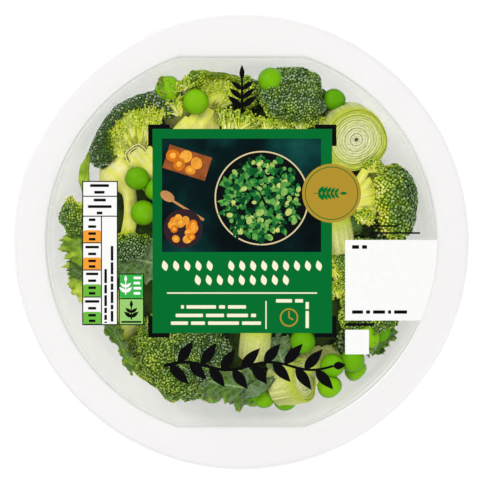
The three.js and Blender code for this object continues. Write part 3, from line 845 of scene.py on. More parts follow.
def fan(rng, crown, neck, cut, root, shares, flat):
    """The levelled strands of a half floret, from the trunk out to the rim, with small buds at their ends."""
    parts, tips = [], []
    for angle in np.linspace(-98, 98, FAN_STRANDS) + rng.normal(0, 2.5, FAN_STRANDS):
        turn = math.radians(angle)
        share = np.interp(angle, (-RIM_HALF, RIM_HALF), shares)
        reach = crown * (1 - 1.4 * share) * rng.uniform(0.5, 1.04)
        sunk = rng.uniform(0, 0.07) * crown
        start = np.array([root + math.sin(turn) * neck * 0.55, cut - sunk,
                          -0.42 * crown + math.cos(turn) * neck * 0.5])
        end = np.array([math.sin(turn) * reach, cut - sunk - rng.uniform(0.0, 0.05) * crown,
                        math.cos(turn) * reach * flat])
        bend = 0.5 * (start + end) + np.array([rng.normal(0, 0.06), 0, rng.normal(0, 0.06)]) * crown
        light = rng.uniform(0.5, 1.3)
        thick, thin = rng.uniform(0.022, 0.04) * crown, rng.uniform(0.009, 0.018) * crown
        strand_tint = (rng.uniform(0.14, 0.26), rng.uniform(0.22, 0.36))
        parts.append(bent_stem(start, bend, end, thick, thin, strand_tint, cut=cut,
                               shade=(0.62 + 0.2 * light, light)))
        for _ in range(TIP_BUDS):
            place = end + (bend - end) * rng.uniform(-0.1, 0.75)
            tips.append(place + rng.normal(0, 0.03, 3) * crown + np.array([0, 0.02 * crown, 0]))
    tips = np.array(tips)
    lean = np.array([0, 1, 0]) + 0.6 * rng.normal(0, 1, tips.shape)
    points, triangles = copies(BUD, tips, axes_along(lean, rng), rng.uniform(0.3, 0.58, len(tips)))
    # Painted shade at the base of each small bud and a painted highlight at its top.
    tip_shade = np.tile(smoothstep(BUD[0][:, 2], -0.9, 0.8), len(tips))
    tip_shade = tip_shade * np.repeat(rng.uniform(0.6, 1.1, len(tips)), len(BUD[0]))
    tip_tint = np.repeat(rng.uniform(0.22, 0.4, len(tips)), len(BUD[0]))
    parts.append((points, triangles, {"tint": tip_tint, "shade": np.clip(tip_shade, 0, 1)}))
    for step in range(KNOT_RINGS):
        bow = (0.9 + 1.15 * step) * 0.05 * crown
        around = np.linspace(-0.2, 1.2, 4) * math.pi
        heart = np.array([root, cut + 0.05, -0.4 * crown])
        knots = [heart + (math.cos(a) * bow * 1.1, 0, math.sin(a) * bow) for a in around]
        for first, last in zip(knots, knots[1:]):
            middle_point = (first + last) / 2
            out = middle_point - heart
            parts.append(bent_stem(first, middle_point + 0.35 * out, last, 0.2, 0.2, 0.04, shade=(0.9, 0.9)))
    return parts


print("strands in a fan:", FAN_STRANDS, "with", TIP_BUDS, "small buds each")

# %% [markdown]
# Both kinds of floret are put together in the same way: buds, a dark core in each lobe whose colour is
# painted shade, the trunk, and then either the fan or the branches. All of it comes from one seeded
# generator, in one fixed order.

# %% Branches and the whole floret


def branches(rng, centres, crown, neck):
    """The branches of a whole floret with the thin stems that fill its underside."""
    parts = []
    for centre in centres:
        start = np.array([0, 0, -0.62 * crown]) + np.array([centre[0], centre[1], 0]) * 0.12
        bend = np.array([centre[0] * 0.35, centre[1] * 0.35, -0.25 * crown])
        parts.append(
            bent_stem(start, bend, centre * 0.95, neck * 0.34, 0.1 * crown, BRANCH_TINT, shade=(0.6, 0.75)))
        if centre[2] > 0.45 * crown:
            continue
        for _ in range(4):
            end = centre + rng.normal(0, 0.13 * crown, 3) - np.array([0, 0, 0.06 * crown])
            parts.append(bent_stem(bend * 0.5 + start * 0.5, bend, end, 0.035 * crown, 0.028 * crown,
                                   (0.26, 0.42), shade=(0.6, 0.9)))
    return parts


def floret(seed, crown, stalk, neck=None, cut_end=None, half=None, flat=1.0, bud=1.0, lobes=20, lobe=0.3,
           widest=98, rim=RIM_ANGLE, root=0.0, sway=0.0, tints=(0.42, 0.95), span=(-0.3, 0.55),
           drift=(0, 0, 0), patches=0.1):
    """All parts of a floret in its own frame: the crown faces +Z and the stalk runs down -Z."""
    rng = np.random.default_rng(seed)
    neck = neck or crown * 0.3
    cut = 0.1 * crown if half else None
    if half:
        centres, radii = rim_lobes(rng, crown, half, flat)
    else:
        directions = cap_directions(lobes, widest) + rng.normal(0, 0.05, (lobes, 3))
        centres = directions * crown * LOBE_REACH * rng.uniform(0.96, 1.04, (lobes, 1))
        centres[:, 2] = np.where(centres[:, 2] < 0, centres[:, 2] * 0.6, centres[:, 2])
        radii = crown * lobe * rng.uniform(0.88, 1.12, lobes)

    def tint_of(places):
        high = np.hypot(places[:, 0], places[:, 2] / flat) if half else places[:, 2]
        share = smoothstep(high / crown, *span)
        tint = tints[0] + (tints[1] - tints[0]) * share
        return tint + places @ np.array(drift) / crown + patches * ripple(places, 9.0)

    parts = [lobe_buds(rng, centres, radii, crown, bud, tint_of, rim=rim, flat=flat)]
    unturned = np.broadcast_to(np.eye(3), (len(centres), 3, 3))
    # Dark cores: painted shade under the buds of each lobe.
    shade_cores, faces = copies(SHADE_CORE, centres, unturned, radii - 0.1 * bud)
    shade_core_tint = np.full(len(shade_cores), tints[0] + 0.1)
    parts.append((shade_cores, faces, {"tint": shade_core_tint, "shade": np.full(len(shade_cores), CORE_PAINTED_SHADE)}))
    parts.append(trunk(crown, stalk, neck, cut_end, cut, root, sway))
    parts += fan(rng, crown, neck, cut, root, half, flat) if half else branches(rng, centres, crown, neck)
    return parts


trial = floret(1, 12, 20, bud=1.2)
print("a floret of 12 mm radius:", sum(len(faces) for _, faces, _ in trial), "triangles")

# %% [markdown]
# One material serves every part of a floret. The tint mark runs along a ramp from the cream of a cut
# trunk through yellow-green branches to blue-green buds. The shade mark carries painted light: it
# goes from a painted shade colour at the base of each bud and in the grooves, through the body
# colour, to a painted highlight at the bud's tip.

# %% Broccoli material
broccoli = Finish("broccoli", Roughness=0.5, Specular_IOR_Level=0.1)
tint = broccoli.mark("tint")
body = broccoli.ramp(
    tint, (0.0, (244, 237, 164)), (0.12, (236, 234, 112)), (0.25, (218, 228, 56)), (0.38, (176, 204, 36)),
    (0.52, (126, 164, 36)), (0.7, (98, 138, 48)), (0.85, (84, 122, 58)), (1.0, (82, 114, 70)))
# Painted highlight, for the tips of buds.
painted_highlight = broccoli.ramp(
    tint, (0.0, (252, 248, 212)), (0.3, (240, 246, 140)), (0.5, (206, 228, 112)), (0.75, (178, 206, 132)),
    (1.0, (184, 202, 176)))
# Painted shade, for the bases of buds and the grooves between lobes.
dark = broccoli.ramp(
    tint, (0.0, (176, 166, 50)), (0.3, (112, 126, 6)), (0.5, (50, 76, 6)), (0.8, (22, 44, 12)),
    (1.0, (18, 38, 20)))
shade = broccoli.mark("shade")
# The shade mark picks painted shade, body colour or painted highlight.
lower = maths(broccoli.tree, "MULTIPLY", shade, 1.9, clamp=True)
upper = maths(broccoli.tree, "MULTIPLY", maths(broccoli.tree, "SUBTRACT", shade, 0.76), 3.2, clamp=True)
skin = broccoli.blend(upper, broccoli.blend(lower, dark, body), painted_highlight)
broccoli.feed("Base Color", broccoli.scaled(skin, broccoli.effect(mottle, Scale=260.0, Depth=0.14)))
broccoli.feed("Normal", broccoli.effect(grain, Scale=1500.0, Height=0.0001))
print("material", broccoli.material.name)

# %% [markdown]
# The florets that show through the film are placed one by one, at the same places as in the CAD
# model, and each has the bud size and the tints of the real one.

# %% Florets that show
TOP_FLORETS = {
    "floret_1": dict(
        at=(-43, 43, 36), azimuth=127, tilt=78, crown=20, stalk=30, neck=6.5, half=(0.15, 0.32),
        flat=0.66, root=4, bud=1.15, tints=(0.3, 1.0), span=(0.36, 0.72)),
    "floret_2": dict(
        at=(-9, 57, 35), azimuth=95, tilt=80, crown=15, stalk=28, neck=4.5, half=(0.26, 0.3), root=5,
        bud=1.1, tints=(0.24, 0.5), span=(0.3, 1.0), patches=0.16),
    "floret_3": dict(
        at=(20, 56, 31), azimuth=70, tilt=36, crown=14.5, stalk=22, bud=1.1, lobes=34, lobe=0.25,
        widest=84, rim=88, tints=(0.32, 0.8), span=(-0.1, 0.4), patches=0.2),
    "floret_4": dict(
        at=(57.5, 15, 28), azimuth=5, tilt=70, crown=16.5, stalk=30, neck=6, bud=1.35, lobes=44,
        lobe=0.22, widest=84, rim=92, tints=(0.24, 0.84), span=(-0.05, 0.75), patches=0.2),
    "floret_5": dict(
        at=(-64, 10, 35), azimuth=215, tilt=70, crown=8, stalk=14, neck=4, bud=1.0, lobes=16, lobe=0.3,
        tints=(0.24, 0.74), patches=0.2),
    "floret_6": dict(
        at=(-44.6, 0.5, 33), azimuth=276, tilt=84, crown=9, stalk=33, neck=2.5, cut_end=8.6, sway=7,
        bud=1.0, lobes=16, lobe=0.3, tints=(0.52, 0.92)),
    "floret_7": dict(
        at=(-23.4, -43, 23.4), azimuth=250, tilt=8, crown=22.4, stalk=16, neck=7, bud=1.0, lobes=36,
        lobe=0.26, tints=(0.34, 0.7), drift=(0.24, 0, 0), patches=0.18),
    "floret_8": dict(
        at=(46, -10, 32), azimuth=20, tilt=25, crown=12, stalk=20, bud=1.0, lobes=16, lobe=0.33,
        tints=(0.26, 0.58), patches=0.16),
    "floret_9": dict(
        at=(51, -25, 31), azimuth=-40, tilt=18, crown=13, stalk=20, bud=1.0, lobes=16, lobe=0.33,
        tints=(0.32, 0.6), patches=0.2),
}


def make_floret(seed, name, at, azimuth, tilt, **shape):
    spin = azimuth + 90 if shape.get("half") or shape.get("sway") else 0
    parts = [placed(part, stand(*at, azimuth, tilt, spin)) for part in floret(seed, **shape)]
    return hand_over(mesh_from_arrays(name, parts), broccoli.material, "vegetables")


for number, (name, form) in enumerate(TOP_FLORETS.items()):
    make_floret(number + 1, name, **form)

# %% [markdown]
# Under the printed panel and against the wall lie more florets, which show only through the milky
# plastic. They stand in rings, as in the CAD model, with larger and fewer buds. Those along the wall
# make two pieces, so that neither has too many triangles.

# %% Florets in the middle and along the wall
MIDDLE = dict(centre=(0, 4), florets=5, ring=20, height=29, tilt=16)
WALL = dict(florets=8, ring=51, height=15, tilt=78)
HIDDEN_BUD = 2.0
WALL_BUD = 1.6


def on_ring(radius, angle, centre=(0, 0)):
    turn = math.radians(angle)
    return centre[0] + radius * math.cos(turn), centre[1] + radius * math.sin(turn)


middle_parts, wall_parts = [], ([], [])
for i in range(MIDDLE["florets"]):
    angle = 360 * (i + 0.4 * scatter(i + 100)) / MIDDLE["florets"]
    place = stand(*on_ring(MIDDLE["ring"], angle, MIDDLE["centre"]), MIDDLE["height"], angle, MIDDLE["tilt"])
    crown = 12.5 + 1.5 * scatter(i + 120)
    made = floret(30 + i, crown, 16, bud=HIDDEN_BUD, lobes=12, lobe=0.36)
    middle_parts += [placed(part, place) for part in made]
for i in range(WALL["florets"]):
    angle = 360 * i / WALL["florets"] + 12 * scatter(i)
    ring = WALL["ring"] + 2 * scatter(i + 20)
    place = stand(*on_ring(ring, angle), WALL["height"] + 4 * scatter(i + 40), angle, WALL["tilt"])
    crown = 12 + 2.5 * scatter(i + 60)
    made = floret(50 + i, crown, 20, bud=WALL_BUD, lobes=18, lobe=0.32, tints=(0.34, 0.8), patches=0.16)
    wall_parts[2 * i // WALL["florets"]].extend(placed(part, place) for part in made)
hand_over(mesh_from_arrays("middle_florets", middle_parts), broccoli.material, "vegetables")
for number, parts in enumerate(wall_parts):
    hand_over(mesh_from_arrays(f"wall_florets_{number + 1}", parts), broccoli.material, "vegetables")

# %% [markdown]
# Where florets were cut apart, loose tufts of thin stems with small yellow-green buds lie between
# them, and a few thick pale branches show beside the crowns that they carry. A tuft is strands that
# spread from one place over the heap, and each ends in a handful of buds.

# %% Loose tufts and pale branches
TUFTS = [    # pixel x and y of the foot, height, direction, spread in degrees, length, strands
    (238, 131, 37, 60, 28, 8, 40), (228, 130, 37, 100, 25, 9, 34), (250, 131, 36, 80, 30, 6, 30),
    (266, 131, 36, 75, 32, 5.5, 34), (284, 131, 36, 90, 35, 5.5, 34), (302, 131, 36, 80, 35, 5.5, 34),
    (320, 131, 35, 70, 30, 5.5, 28), (186, 90, 38, 115, 35, 5, 26), (178, 112, 37, 100, 30, 6, 26),
    (337, 262, 37, 80, 45, 4.5, 22), (338, 276, 37, 100, 50, 4.5, 22), (340, 296, 36, 90, 50, 4, 18),
    (364, 222, 38, 70, 40, 5, 26), (372, 170, 38, 60, 40, 4.5, 26), (332, 250, 36, 60, 40, 4, 16),
]
PALE_BRANCHES = [    # pixel x and y with height at both ends, and both radii
    ((345, 200, 33), (374, 181, 36), 3.6, 2.4), ((342, 202, 34), (378, 190, 36), 3.6, 2.3),
    ((344, 204, 34.5), (379, 201, 36), 3.6, 2.4), ((346, 206, 34), (378, 212, 35.5), 3.4, 2.2),
    ((348, 208, 33.5), (374, 222, 35), 3.2, 2.2), ((354, 190, 36), (367, 169, 37), 2.2, 1.6),
    ((190, 138, 36), (209, 107, 37), 3.6, 2.5), ((180, 136, 36), (198, 112, 36.5), 2.8, 1.9),
    ((172, 136, 36), (188, 117, 36), 2.4, 1.7),
]


def tuft(rng, x, y, height, direction, spread, length, strands):
    foot = np.array([*at_pixel(x, y), height])
    parts, tips = [], []
    for _ in range(strands):
        turn = math.radians(direction + spread * rng.normal(0, 1))
        way = np.array([math.cos(turn), math.sin(turn), rng.uniform(-0.15, 0.35)]) * length
        start = foot + rng.normal(0, 0.7, 3)
        end = foot + way * rng.uniform(0.45, 1.1)
        bend = 0.5 * (start + end) + rng.normal(0, 0.5, 3)
        light = rng.uniform(0.4, 1.2)
        parts.append(bent_stem(start, bend, end, 0.42, 0.22, (0.14, 0.32), shade=(light, light)))
        tips.append(end + rng.normal(0, 0.55, (7, 3)))
    tips = np.concatenate(tips)
    lean = np.array(UP) + 0.7 * rng.normal(0, 1, tips.shape)
    points, triangles = copies(BUD, tips, axes_along(lean, rng), rng.uniform(0.32, 0.62, len(tips)))
    shade = np.repeat(rng.uniform(0.5, 1.2, len(tips)), len(BUD[0]))
    # Painted shade at the base of each small bud and a painted highlight at its top.
    shade = shade * np.tile(smoothstep(BUD[0][:, 2], -0.7, 0.8), len(tips))
    tint = np.repeat(rng.uniform(0.26, 0.5, len(tips)), len(BUD[0]))
    parts.append((points, triangles, {"tint": tint, "shade": np.clip(shade, 0, 1)}))
    return parts


level = stand(0, 0, 0)
tuft_rng = np.random.default_rng(77)
tuft_parts = [placed(part, level) for spot in TUFTS for part in tuft(tuft_rng, *spot)]
hand_over(mesh_from_arrays("loose_tufts", tuft_parts), broccoli.material, "vegetables")
branch_parts = []
for (x, y, low), (far_x, far_y, high), first, last in PALE_BRANCHES:
    start, end = np.array([*at_pixel(x, y), low]), np.array([*at_pixel(far_x, far_y), high])
    bend = 0.5 * (start + end) + np.array([0.8, 0.4, 0.5])
    branch = bent_stem(start, bend, end, first, last, (0.08, 0.18), ridges=0.06, shade=(0.62, 0.7),
                       streaks=0.18, form=TRUNK)
    branch_parts.append(placed(branch, level))
hand_over(mesh_from_arrays("pale_branches", branch_parts), broccoli.material, "vegetables")

# %% [markdown]
# ## Peas
# A pea is almost a ball, a little flattened where it grew against the next one, with a tight waxy
# skin. One sphere is modelled, and each pea gets its own slight unevenness and turn. A mark on the
# points makes the skin darker towards the sides and below, where its neighbours keep the light off.

# %% Peas
TOP_PEAS = [
    (-28.9, 60.3, 35.5, 5.2), (-17.8, 54.9, 40.2, 5.1), (11.6, 63.4, 38.5, 5.1), (36.6, 56, 34, 4.6),
    (-40.9, 24.9, 36.5, 4.8), (-38.6, 11.4, 36, 5), (-33.4, 20.6, 35.5, 4.8), (24.1, -39.1, 39.5, 5),
    (35.8, -48.5, 39, 4.8), (43.8, -46.6, 37, 4.8), (45.4, -51, 32, 4.6), (34.8, -57, 37.2, 4.9),
    (49.8, -37.5, 37.5, 4.8), (55, -35.5, 33, 4.5), (4.6, -60.6, 32, 4.6), (9, -61.2, 33, 4.5),
    (17.4, -62.2, 31, 4.8),
]
WALL_PEAS = dict(ring=61, height=12, radius=4.8)

deselect_all()
bpy.ops.mesh.primitive_uv_sphere_add(segments=28, ring_count=18, radius=1)
PEA = take_master(bpy.context.object)


def pea(index, x, y, z, radius):
    points, triangles = PEA
    uneven = 1 + 0.012 * ripple(points + scatter(index) * 9, 1.7) + 0.008 * ripple(points + index, 0.9)
    squeeze = np.array([1.0, 0.97 + 0.04 * scatter(index + 3), 0.95 + 0.04 * scatter(index + 7)])
    matrix = stand(x, y, z, 360 * scatter(index + 11), 50 * scatter(index + 13))
    made = points * squeeze * uneven[:, None] * radius
    upward = points @ matrix[2, :3]
    marks = {"ripe": np.full(len(points), scatter(index + 17)), "top": smoothstep(upward, -0.1, 0.75)}
    return placed((made, triangles, marks), matrix)


pea_parts = [pea(i, *spot) for i, spot in enumerate(TOP_PEAS)]
for i in range(1, WALL["florets"], 2):
    between = 360 * i / WALL["florets"] + 12 * scatter(i) + 180 / WALL["florets"]
    height = WALL_PEAS["height"] + 10 * scatter(i + 90)
    pea_parts.append(pea(40 + i, *on_ring(WALL_PEAS["ring"], between), height, WALL_PEAS["radius"]))

pea_skin = Finish("pea skin", Roughness=0.3, Specular_IOR_Level=0.07)
colour = pea_skin.ramp(pea_skin.mark("ripe"), (0.0, (96, 166, 0)), (0.6, (112, 180, 2)), (1.0, (136, 196, 6)))
shaded = maths(pea_skin.tree, "ADD", maths(pea_skin.tree, "MULTIPLY", pea_skin.mark("top"), 0.56), 0.48)
pea_skin.feed("Base Color", pea_skin.scaled(colour, shaded, pea_skin.effect(mottle, Scale=180.0, Depth=0.1)))
pea_skin.feed("Normal", pea_skin.effect(grain, Scale=900.0, Height=0.00006))
hand_over(mesh_from_arrays("peas", pea_parts), pea_skin.material, "vegetables")

# %% [markdown]
# ## Leek
# A leek is rolled from many thin layers, so a slice across it shows fine rings: pale in the heart,
# yellow-green outside, each layer standing a little above the groove beside it. The slice's section
# is drawn with those ridges and spun round its axis, and its rings are then made slightly uneven.

# %% Leek slices
LEEKS = {
    "leek_1": dict(at=(43.9, 41.3, 34.5), azimuth=-45, tilt=20, radius=13, thick=12, rings=12),
    "leek_2": dict(at=(19.6, -55.4, 34), azimuth=12, tilt=62, radius=9.2, thick=12, rings=7),
    "leek_3": dict(at=(5.5, -39.5, 37), azimuth=85, tilt=70, radius=6, thick=13, rings=5),
    "leek_4": dict(at=(38.5, 3, 37.5), azimuth=100, tilt=75, radius=5.5, thick=14, rings=5),
    "leek_5": dict(at=(0, 4, 34), azimuth=30, tilt=12, radius=9, thick=10, rings=6),
}
WALL_LEEKS = dict(ring=58, height=20, tilt=70, radius=10, thick=9)
GROOVE = 0.55
LEEK_STEPS = 132


def leek_profile(radius, thick, rings, seed):
    """Half the slice's section as (radius, height, groove): groove is 1 on a ridge and 0 between two."""
    rng = np.random.default_rng(seed)
    top = thick / 2
    outline = [(0.0, top - GROOVE - 1.6, 0.0), (0.5, top - GROOVE - 1.2, 0.0), (0.75, top - GROOVE, 0.6)]
    edges = radius * (np.arange(1, rings + 1) / rings) ** 0.92
    for inner, edge in zip(np.concatenate([[0.8], edges[:-1]]), edges):
        crest = top - rng.uniform(0, 0.35)
        width = edge - inner
        outline += [(inner + 0.22 * width, crest - 0.2, 0.75), (inner + 0.5 * width, crest, 1.0),
                    (edge - 0.2 * width, crest - 0.12, 0.85), (edge - 0.05 * width, crest - GROOVE, 0.0)]
    outline[-1] = (radius, top - 0.5, 0.8)
    outline += [(radius + 0.12, 0.0, 0.9), (radius, -top + 0.4, 0.9), (radius - 0.4, -top, 0.8),
                (0.0, -top, 0.5)]
    return outline


def make_leek(name, seed, at, azimuth, tilt, radius, thick, rings):
    outline = leek_profile(radius, thick, rings, seed)
    slice_ = spun(name, [(r, z) for r, z, _ in outline], LEEK_STEPS)
    points = read_points(slice_)
    away = np.hypot(points[:, 0], points[:, 1])
    around = np.arctan2(points[:, 1], points[:, 0])
    drawn = np.array(outline)
    nearest = np.hypot(away[:, None] - drawn[:, 0], points[:, 2, None] - drawn[:, 1]).argmin(axis=1)
    share = np.clip(away / radius, 0, 1)
    on_face = points[:, 2] > 0.3 * thick
    ring = nearest // 4 * 2.4 + seed
    fading = 0.5 + 0.5 * np.sin(2 * around + ring) * np.sin(5 * around + 2.1 * ring)
    groove = 1 - (1 - drawn[nearest, 2]) * (0.25 + 0.75 * fading) - 0.25 * (np.sin(ring * 3.7) > 0.2)
    fibres = np.random.default_rng(seed).uniform(0, 1, LEEK_STEPS)
    column = np.round(around / (2 * math.pi) * LEEK_STEPS).astype(int) % LEEK_STEPS
    side = 0.25 + 0.75 * (0.6 * fibres[column] + 0.4 * fibres[column // 3])
    marks = {"groove": np.where(on_face, groove, side), "across": share, "side": 1.0 - on_face}
    for mark, values in marks.items():
        add_mark(slice_.data, mark, np.clip(values, 0, 1))
    wave = 0.03 * np.sin(2 * around + seed) + 0.02 * np.sin(3 * around + 2 * seed)
    wave += 0.012 * np.sin(around + ring) + 0.008 * np.sin(4 * around - 1.3 * ring)
    points[:, :2] *= (1 + wave * share)[:, None]
    crinkle = 0.14 * np.sin(9 * around + 2.3 * away) * (away > 0.5)
    points[:, 2] += on_face * (crinkle + 0.3 * share * np.sin(around + seed))
    matrix = stand(*at, azimuth, tilt)
    write_points(slice_, keep_inside(points @ matrix[:3, :3].T + matrix[:3, 3]))
    make_active(slice_)
    bpy.ops.object.shade_smooth_by_angle(angle=math.radians(50))
    return hand_over(slice_, leek.material, "vegetables")


print("section of a slice with 12 rings:", len(leek_profile(13, 12, 12, 1)), "points")

# %% [markdown]
# Two colour ramps run from a slice's heart to its skin: a pale one for the ridges and a deep one for
# the grooves of the face. The flank has two tones for its fibres. Marks choose between them.

# %% Leek material and slices
leek = Finish("leek", Roughness=0.4, Specular_IOR_Level=0.1)
across = leek.mark("across")
pale = leek.ramp(
    across, (0.0, (98, 94, 30)), (0.045, (120, 116, 46)), (0.075, (242, 242, 206)),
    (0.5, (234, 236, 178)), (0.72, (222, 230, 140)), (0.86, (206, 216, 84)), (1.0, (192, 206, 70)))
deep = leek.ramp(
    across, (0.0, (80, 76, 24)), (0.07, (196, 200, 136)), (0.6, (198, 204, 118)), (1.0, (176, 190, 50)))
face = leek.blend(leek.mark("groove"), deep, pale)
flank = leek.blend(leek.mark("groove"), (134, 150, 16), (238, 240, 156))
layered = leek.blend(leek.mark("side"), face, flank)
leek.feed("Base Color", leek.scaled(layered, leek.effect(mottle, Scale=900.0, Depth=0.13)))
leek.feed("Normal", leek.effect(grain, Scale=900.0, Height=0.00012))

for number, (name, form) in enumerate(LEEKS.items()):
    make_leek(name, number + 1, **form)
for i in range(0, WALL["florets"], 2):
    between = 360 * i / WALL["florets"] + 12 * scatter(i) + 180 / WALL["florets"]
    place = (*on_ring(WALL_LEEKS["ring"], between), WALL_LEEKS["height"] + 5 * scatter(i + 80))
    make_leek(f"wall_leek_{i // 2 + 1}", 20 + i, place, between, WALL_LEEKS["tilt"],
              WALL_LEEKS["radius"] + 2 * scatter(i), WALL_LEEKS["thick"], 6)

# %% [markdown]
# ## Kale
# A torn piece of kale is a thin leaf whose edge has grown faster than its middle, so it stands in
# frills. A grid is added, its outline is torn by a wavy edge, the frills grow towards the rim, and
# low blisters lie between the veins. Solidify gives the leaf its thickness. The veins, the tone, which
# also holds painted highlights on the frills' crests and painted shade in their folds, and a painted
# highlight along the rim are marks on the points, so that they follow the leaf through every fold.

# %% Kale
KALE_COLUMNS = 44
KALE_ROWS = 56
LEAF_THICKNESS = 0.45
TOP_KALE = {
    "kale_1": dict(
        at=(-60.5, 33, 34), azimuth=160, tilt=62, spin=10, width=6, length=28, tones=(0.25, 0.45),
        frilly=0.1),
    "kale_2": dict(
        at=(-63.5, -3, 35.5), azimuth=190, tilt=30, spin=10, width=15, length=16, tones=(0.2, 0.45)),
    "kale_3": dict(
        at=(-61, -20.5, 34.5), azimuth=210, tilt=25, spin=25, width=15, length=17, tones=(0.0, 0.2)),
    "kale_4": dict(
        at=(-42, -7, 36), azimuth=60, tilt=12, spin=80, width=18, length=24, curl=0.5,
        tones=(0.7, 0.9)),
    "kale_5": dict(
        at=(-47.5, -42.5, 34.5), azimuth=220, tilt=40, spin=24, width=13, length=23, tones=(0.4, 0.62)),
    "kale_6": dict(
        at=(-4, -56.6, 37), azimuth=265, tilt=18, spin=80, width=16, length=27, curl=0.5,
        tones=(0.62, 0.8)),
    "kale_7": dict(
        at=(55.5, -37, 36), azimuth=-30, tilt=40, spin=-15, width=13, length=17, tones=(0.4, 0.75)),
    "kale_8": dict(
        at=(15, -44, 37.5), azimuth=100, tilt=20, spin=20, width=12, length=16, curl=0.4,
        tones=(0.8, 1.0)),
    "kale_9": dict(
        at=(41.5, 7, 37), azimuth=0, tilt=15, spin=60, width=12, length=13, curl=0.6,
        tones=(0.55, 0.66), frilly=0.25),
    "kale_10": dict(
        at=(-30.5, 61, 40.3), azimuth=20, tilt=25, spin=10, width=6, length=8, curl=0.5,
        tones=(0.15, 0.4), frilly=0.4),
    "kale_11": dict(
        at=(-65, -11.5, 36.5), azimuth=200, tilt=35, spin=60, width=6, length=9, curl=0.5,
        tones=(0.5, 0.62), frilly=0.6),
    "kale_12": dict(
        at=(6.5, -57.2, 39.5), azimuth=213, tilt=14, spin=123, width=6, length=14, curl=0.4,
        tones=(0.92, 1.0), frilly=0.1),
}


def make_kale(name, seed, at, azimuth, tilt, spin, width, length, curl=1.0, tones=(0.3, 0.6), frilly=1.0):
    deselect_all()
    bpy.ops.mesh.primitive_grid_add(x_subdivisions=KALE_COLUMNS, y_subdivisions=KALE_ROWS, size=2 * MM)
    leaf = bpy.context.object
    leaf.name = leaf.data.name = name
    u, v = read_points(leaf)[:, :2].T
    phase = 6.3 * scatter(seed)
    edge = np.abs(u)
    tear = 0.16 * np.sin(7 * v + phase) + 0.06 * np.sin(17 * v + 2 * phase)
    tear += 0.04 * np.sin(31 * v * np.sign(u) + phase)
    ends = 1 + 0.08 * np.sin(5 * u + phase) + 0.05 * np.sin(13 * u - phase)
    x = 0.5 * width * u * (1 - (0.35 if frilly > 0.5 else 0.9) * v ** 2) * (1 + frilly * tear)
    y = 0.5 * length * v * ends
    frill = edge ** 1.6 * 1.5 * np.sin(5 * v + np.sign(u) + phase)
    curls = np.sin(15 * v + 1.7 * np.sign(u) + 2 * phase)
    frill += edge ** 3 * 2.4 * curls + edge ** 5 * 1.5 * np.sin(37 * v + phase)
    blister = 0.16 * np.sin(1.7 * x + phase) * np.sin(1.9 * y) + 0.1 * np.sin(3.9 * x + 2.1 * y)
    z = frilly * frill + blister + curl * (3 * u ** 2 - 2.5 * v ** 2)
    main = np.exp(-(u / 0.045) ** 2)
    side = np.exp(-(((v * 4.2 - 1.8 * edge + phase) % 1 - 0.5) / 0.07) ** 2) * (1 - edge) ** 0.5
    matrix = stand(*at, azimuth, tilt, spin)
    z -= 0.35 * main + 0.2 * side
    write_points(leaf, keep_inside(np.stack([x, y, z], 1) @ matrix[:3, :3].T + matrix[:3, 3]))
    tone = tones[0] + (tones[1] - tones[0]) * (1 - edge ** 2) + 0.08 * np.sin(2.2 * v + phase)
    # Painted light: the crests of the frills are lighter and their folds darker; the ripple is random tone.
    tone += frilly * 0.24 * edge ** 2 * (0.6 - curls) + 0.16 * ripple(np.stack([x, y, z], 1) + 7 * seed, 5.0)
    add_mark(leaf.data, "vein", np.clip(main + 0.7 * side, 0, 1))
    add_mark(leaf.data, "tone", np.clip(tone, 0, 1))
    # The rim mark carries a painted highlight along the frilled edge.
    add_mark(leaf.data, "rim", frilly * edge ** 6)
    apply_modifier(leaf, "SOLIDIFY", thickness=LEAF_THICKNESS * MM, offset=-1)
    bpy.ops.object.shade_smooth_by_angle(angle=math.radians(60))
    return hand_over(leaf, kale.material, "vegetables")


print("a leaf has about", KALE_COLUMNS * KALE_ROWS, "faces before it gets its thickness")

# %% [markdown]
# The tone mark picks the leaf's green, from the yellow of a young leaf to the grey-green of an old
# one, with painted highlights on the frills' crests and painted shade in their folds. Veins and a fine
# net between them are paler. A painted highlight pales the thin frilled rim.

# %% Kale material and leaves
kale = Finish("kale", Roughness=0.45, Specular_IOR_Level=0.14)
tone = kale.mark("tone")
leaf_colour = kale.ramp(
    tone, (0.0, (206, 222, 80)), (0.3, (158, 194, 40)), (0.55, (74, 116, 20)), (0.8, (66, 98, 34)),
    (1.0, (104, 134, 84)))
vein_colour = kale.ramp(tone, (0.0, (214, 226, 120)), (0.5, (150, 184, 90)), (1.0, (172, 192, 160)))
net = kale.tree.nodes.new("ShaderNodeTexVoronoi")
net.feature = "DISTANCE_TO_EDGE"
net.inputs["Scale"].default_value = 420
kale.tree.links.new(kale.place, net.inputs["Vector"])
from_line = maths(kale.tree, "MULTIPLY", net.outputs["Distance"], 5.0)
cells = maths(kale.tree, "SUBTRACT", 0.75, from_line, clamp=True)
web = maths(kale.tree, "MAXIMUM", kale.mark("vein"), maths(kale.tree, "MULTIPLY", cells, 0.32), clamp=True)
# Painted highlight along the frilled rim.
rim_highlight_colour = kale.ramp(tone, (0.0, (222, 232, 120)), (0.5, (176, 204, 96)), (1.0, (172, 194, 140)))
rim_highlight = maths(kale.tree, "MULTIPLY", kale.mark("rim"), 0.7)
rim_highlighted = kale.blend(rim_highlight, kale.blend(web, leaf_colour, vein_colour), rim_highlight_colour)
kale.feed("Base Color", kale.scaled(rim_highlighted, kale.effect(mottle, Scale=260.0, Depth=0.16)))
kale.feed("Normal", kale.effect(grain, Scale=700.0, Height=0.00015))
for number, (name, form) in enumerate(TOP_KALE.items()):
    make_kale(name, number + 1, **form)

# %% [markdown]
# ## The dark middle of the heap
# Between the pieces one looks down into shade. A closed, uneven mound fills the heap's middle, as
# the plain bed does in the CAD model, so that no light comes through from below.

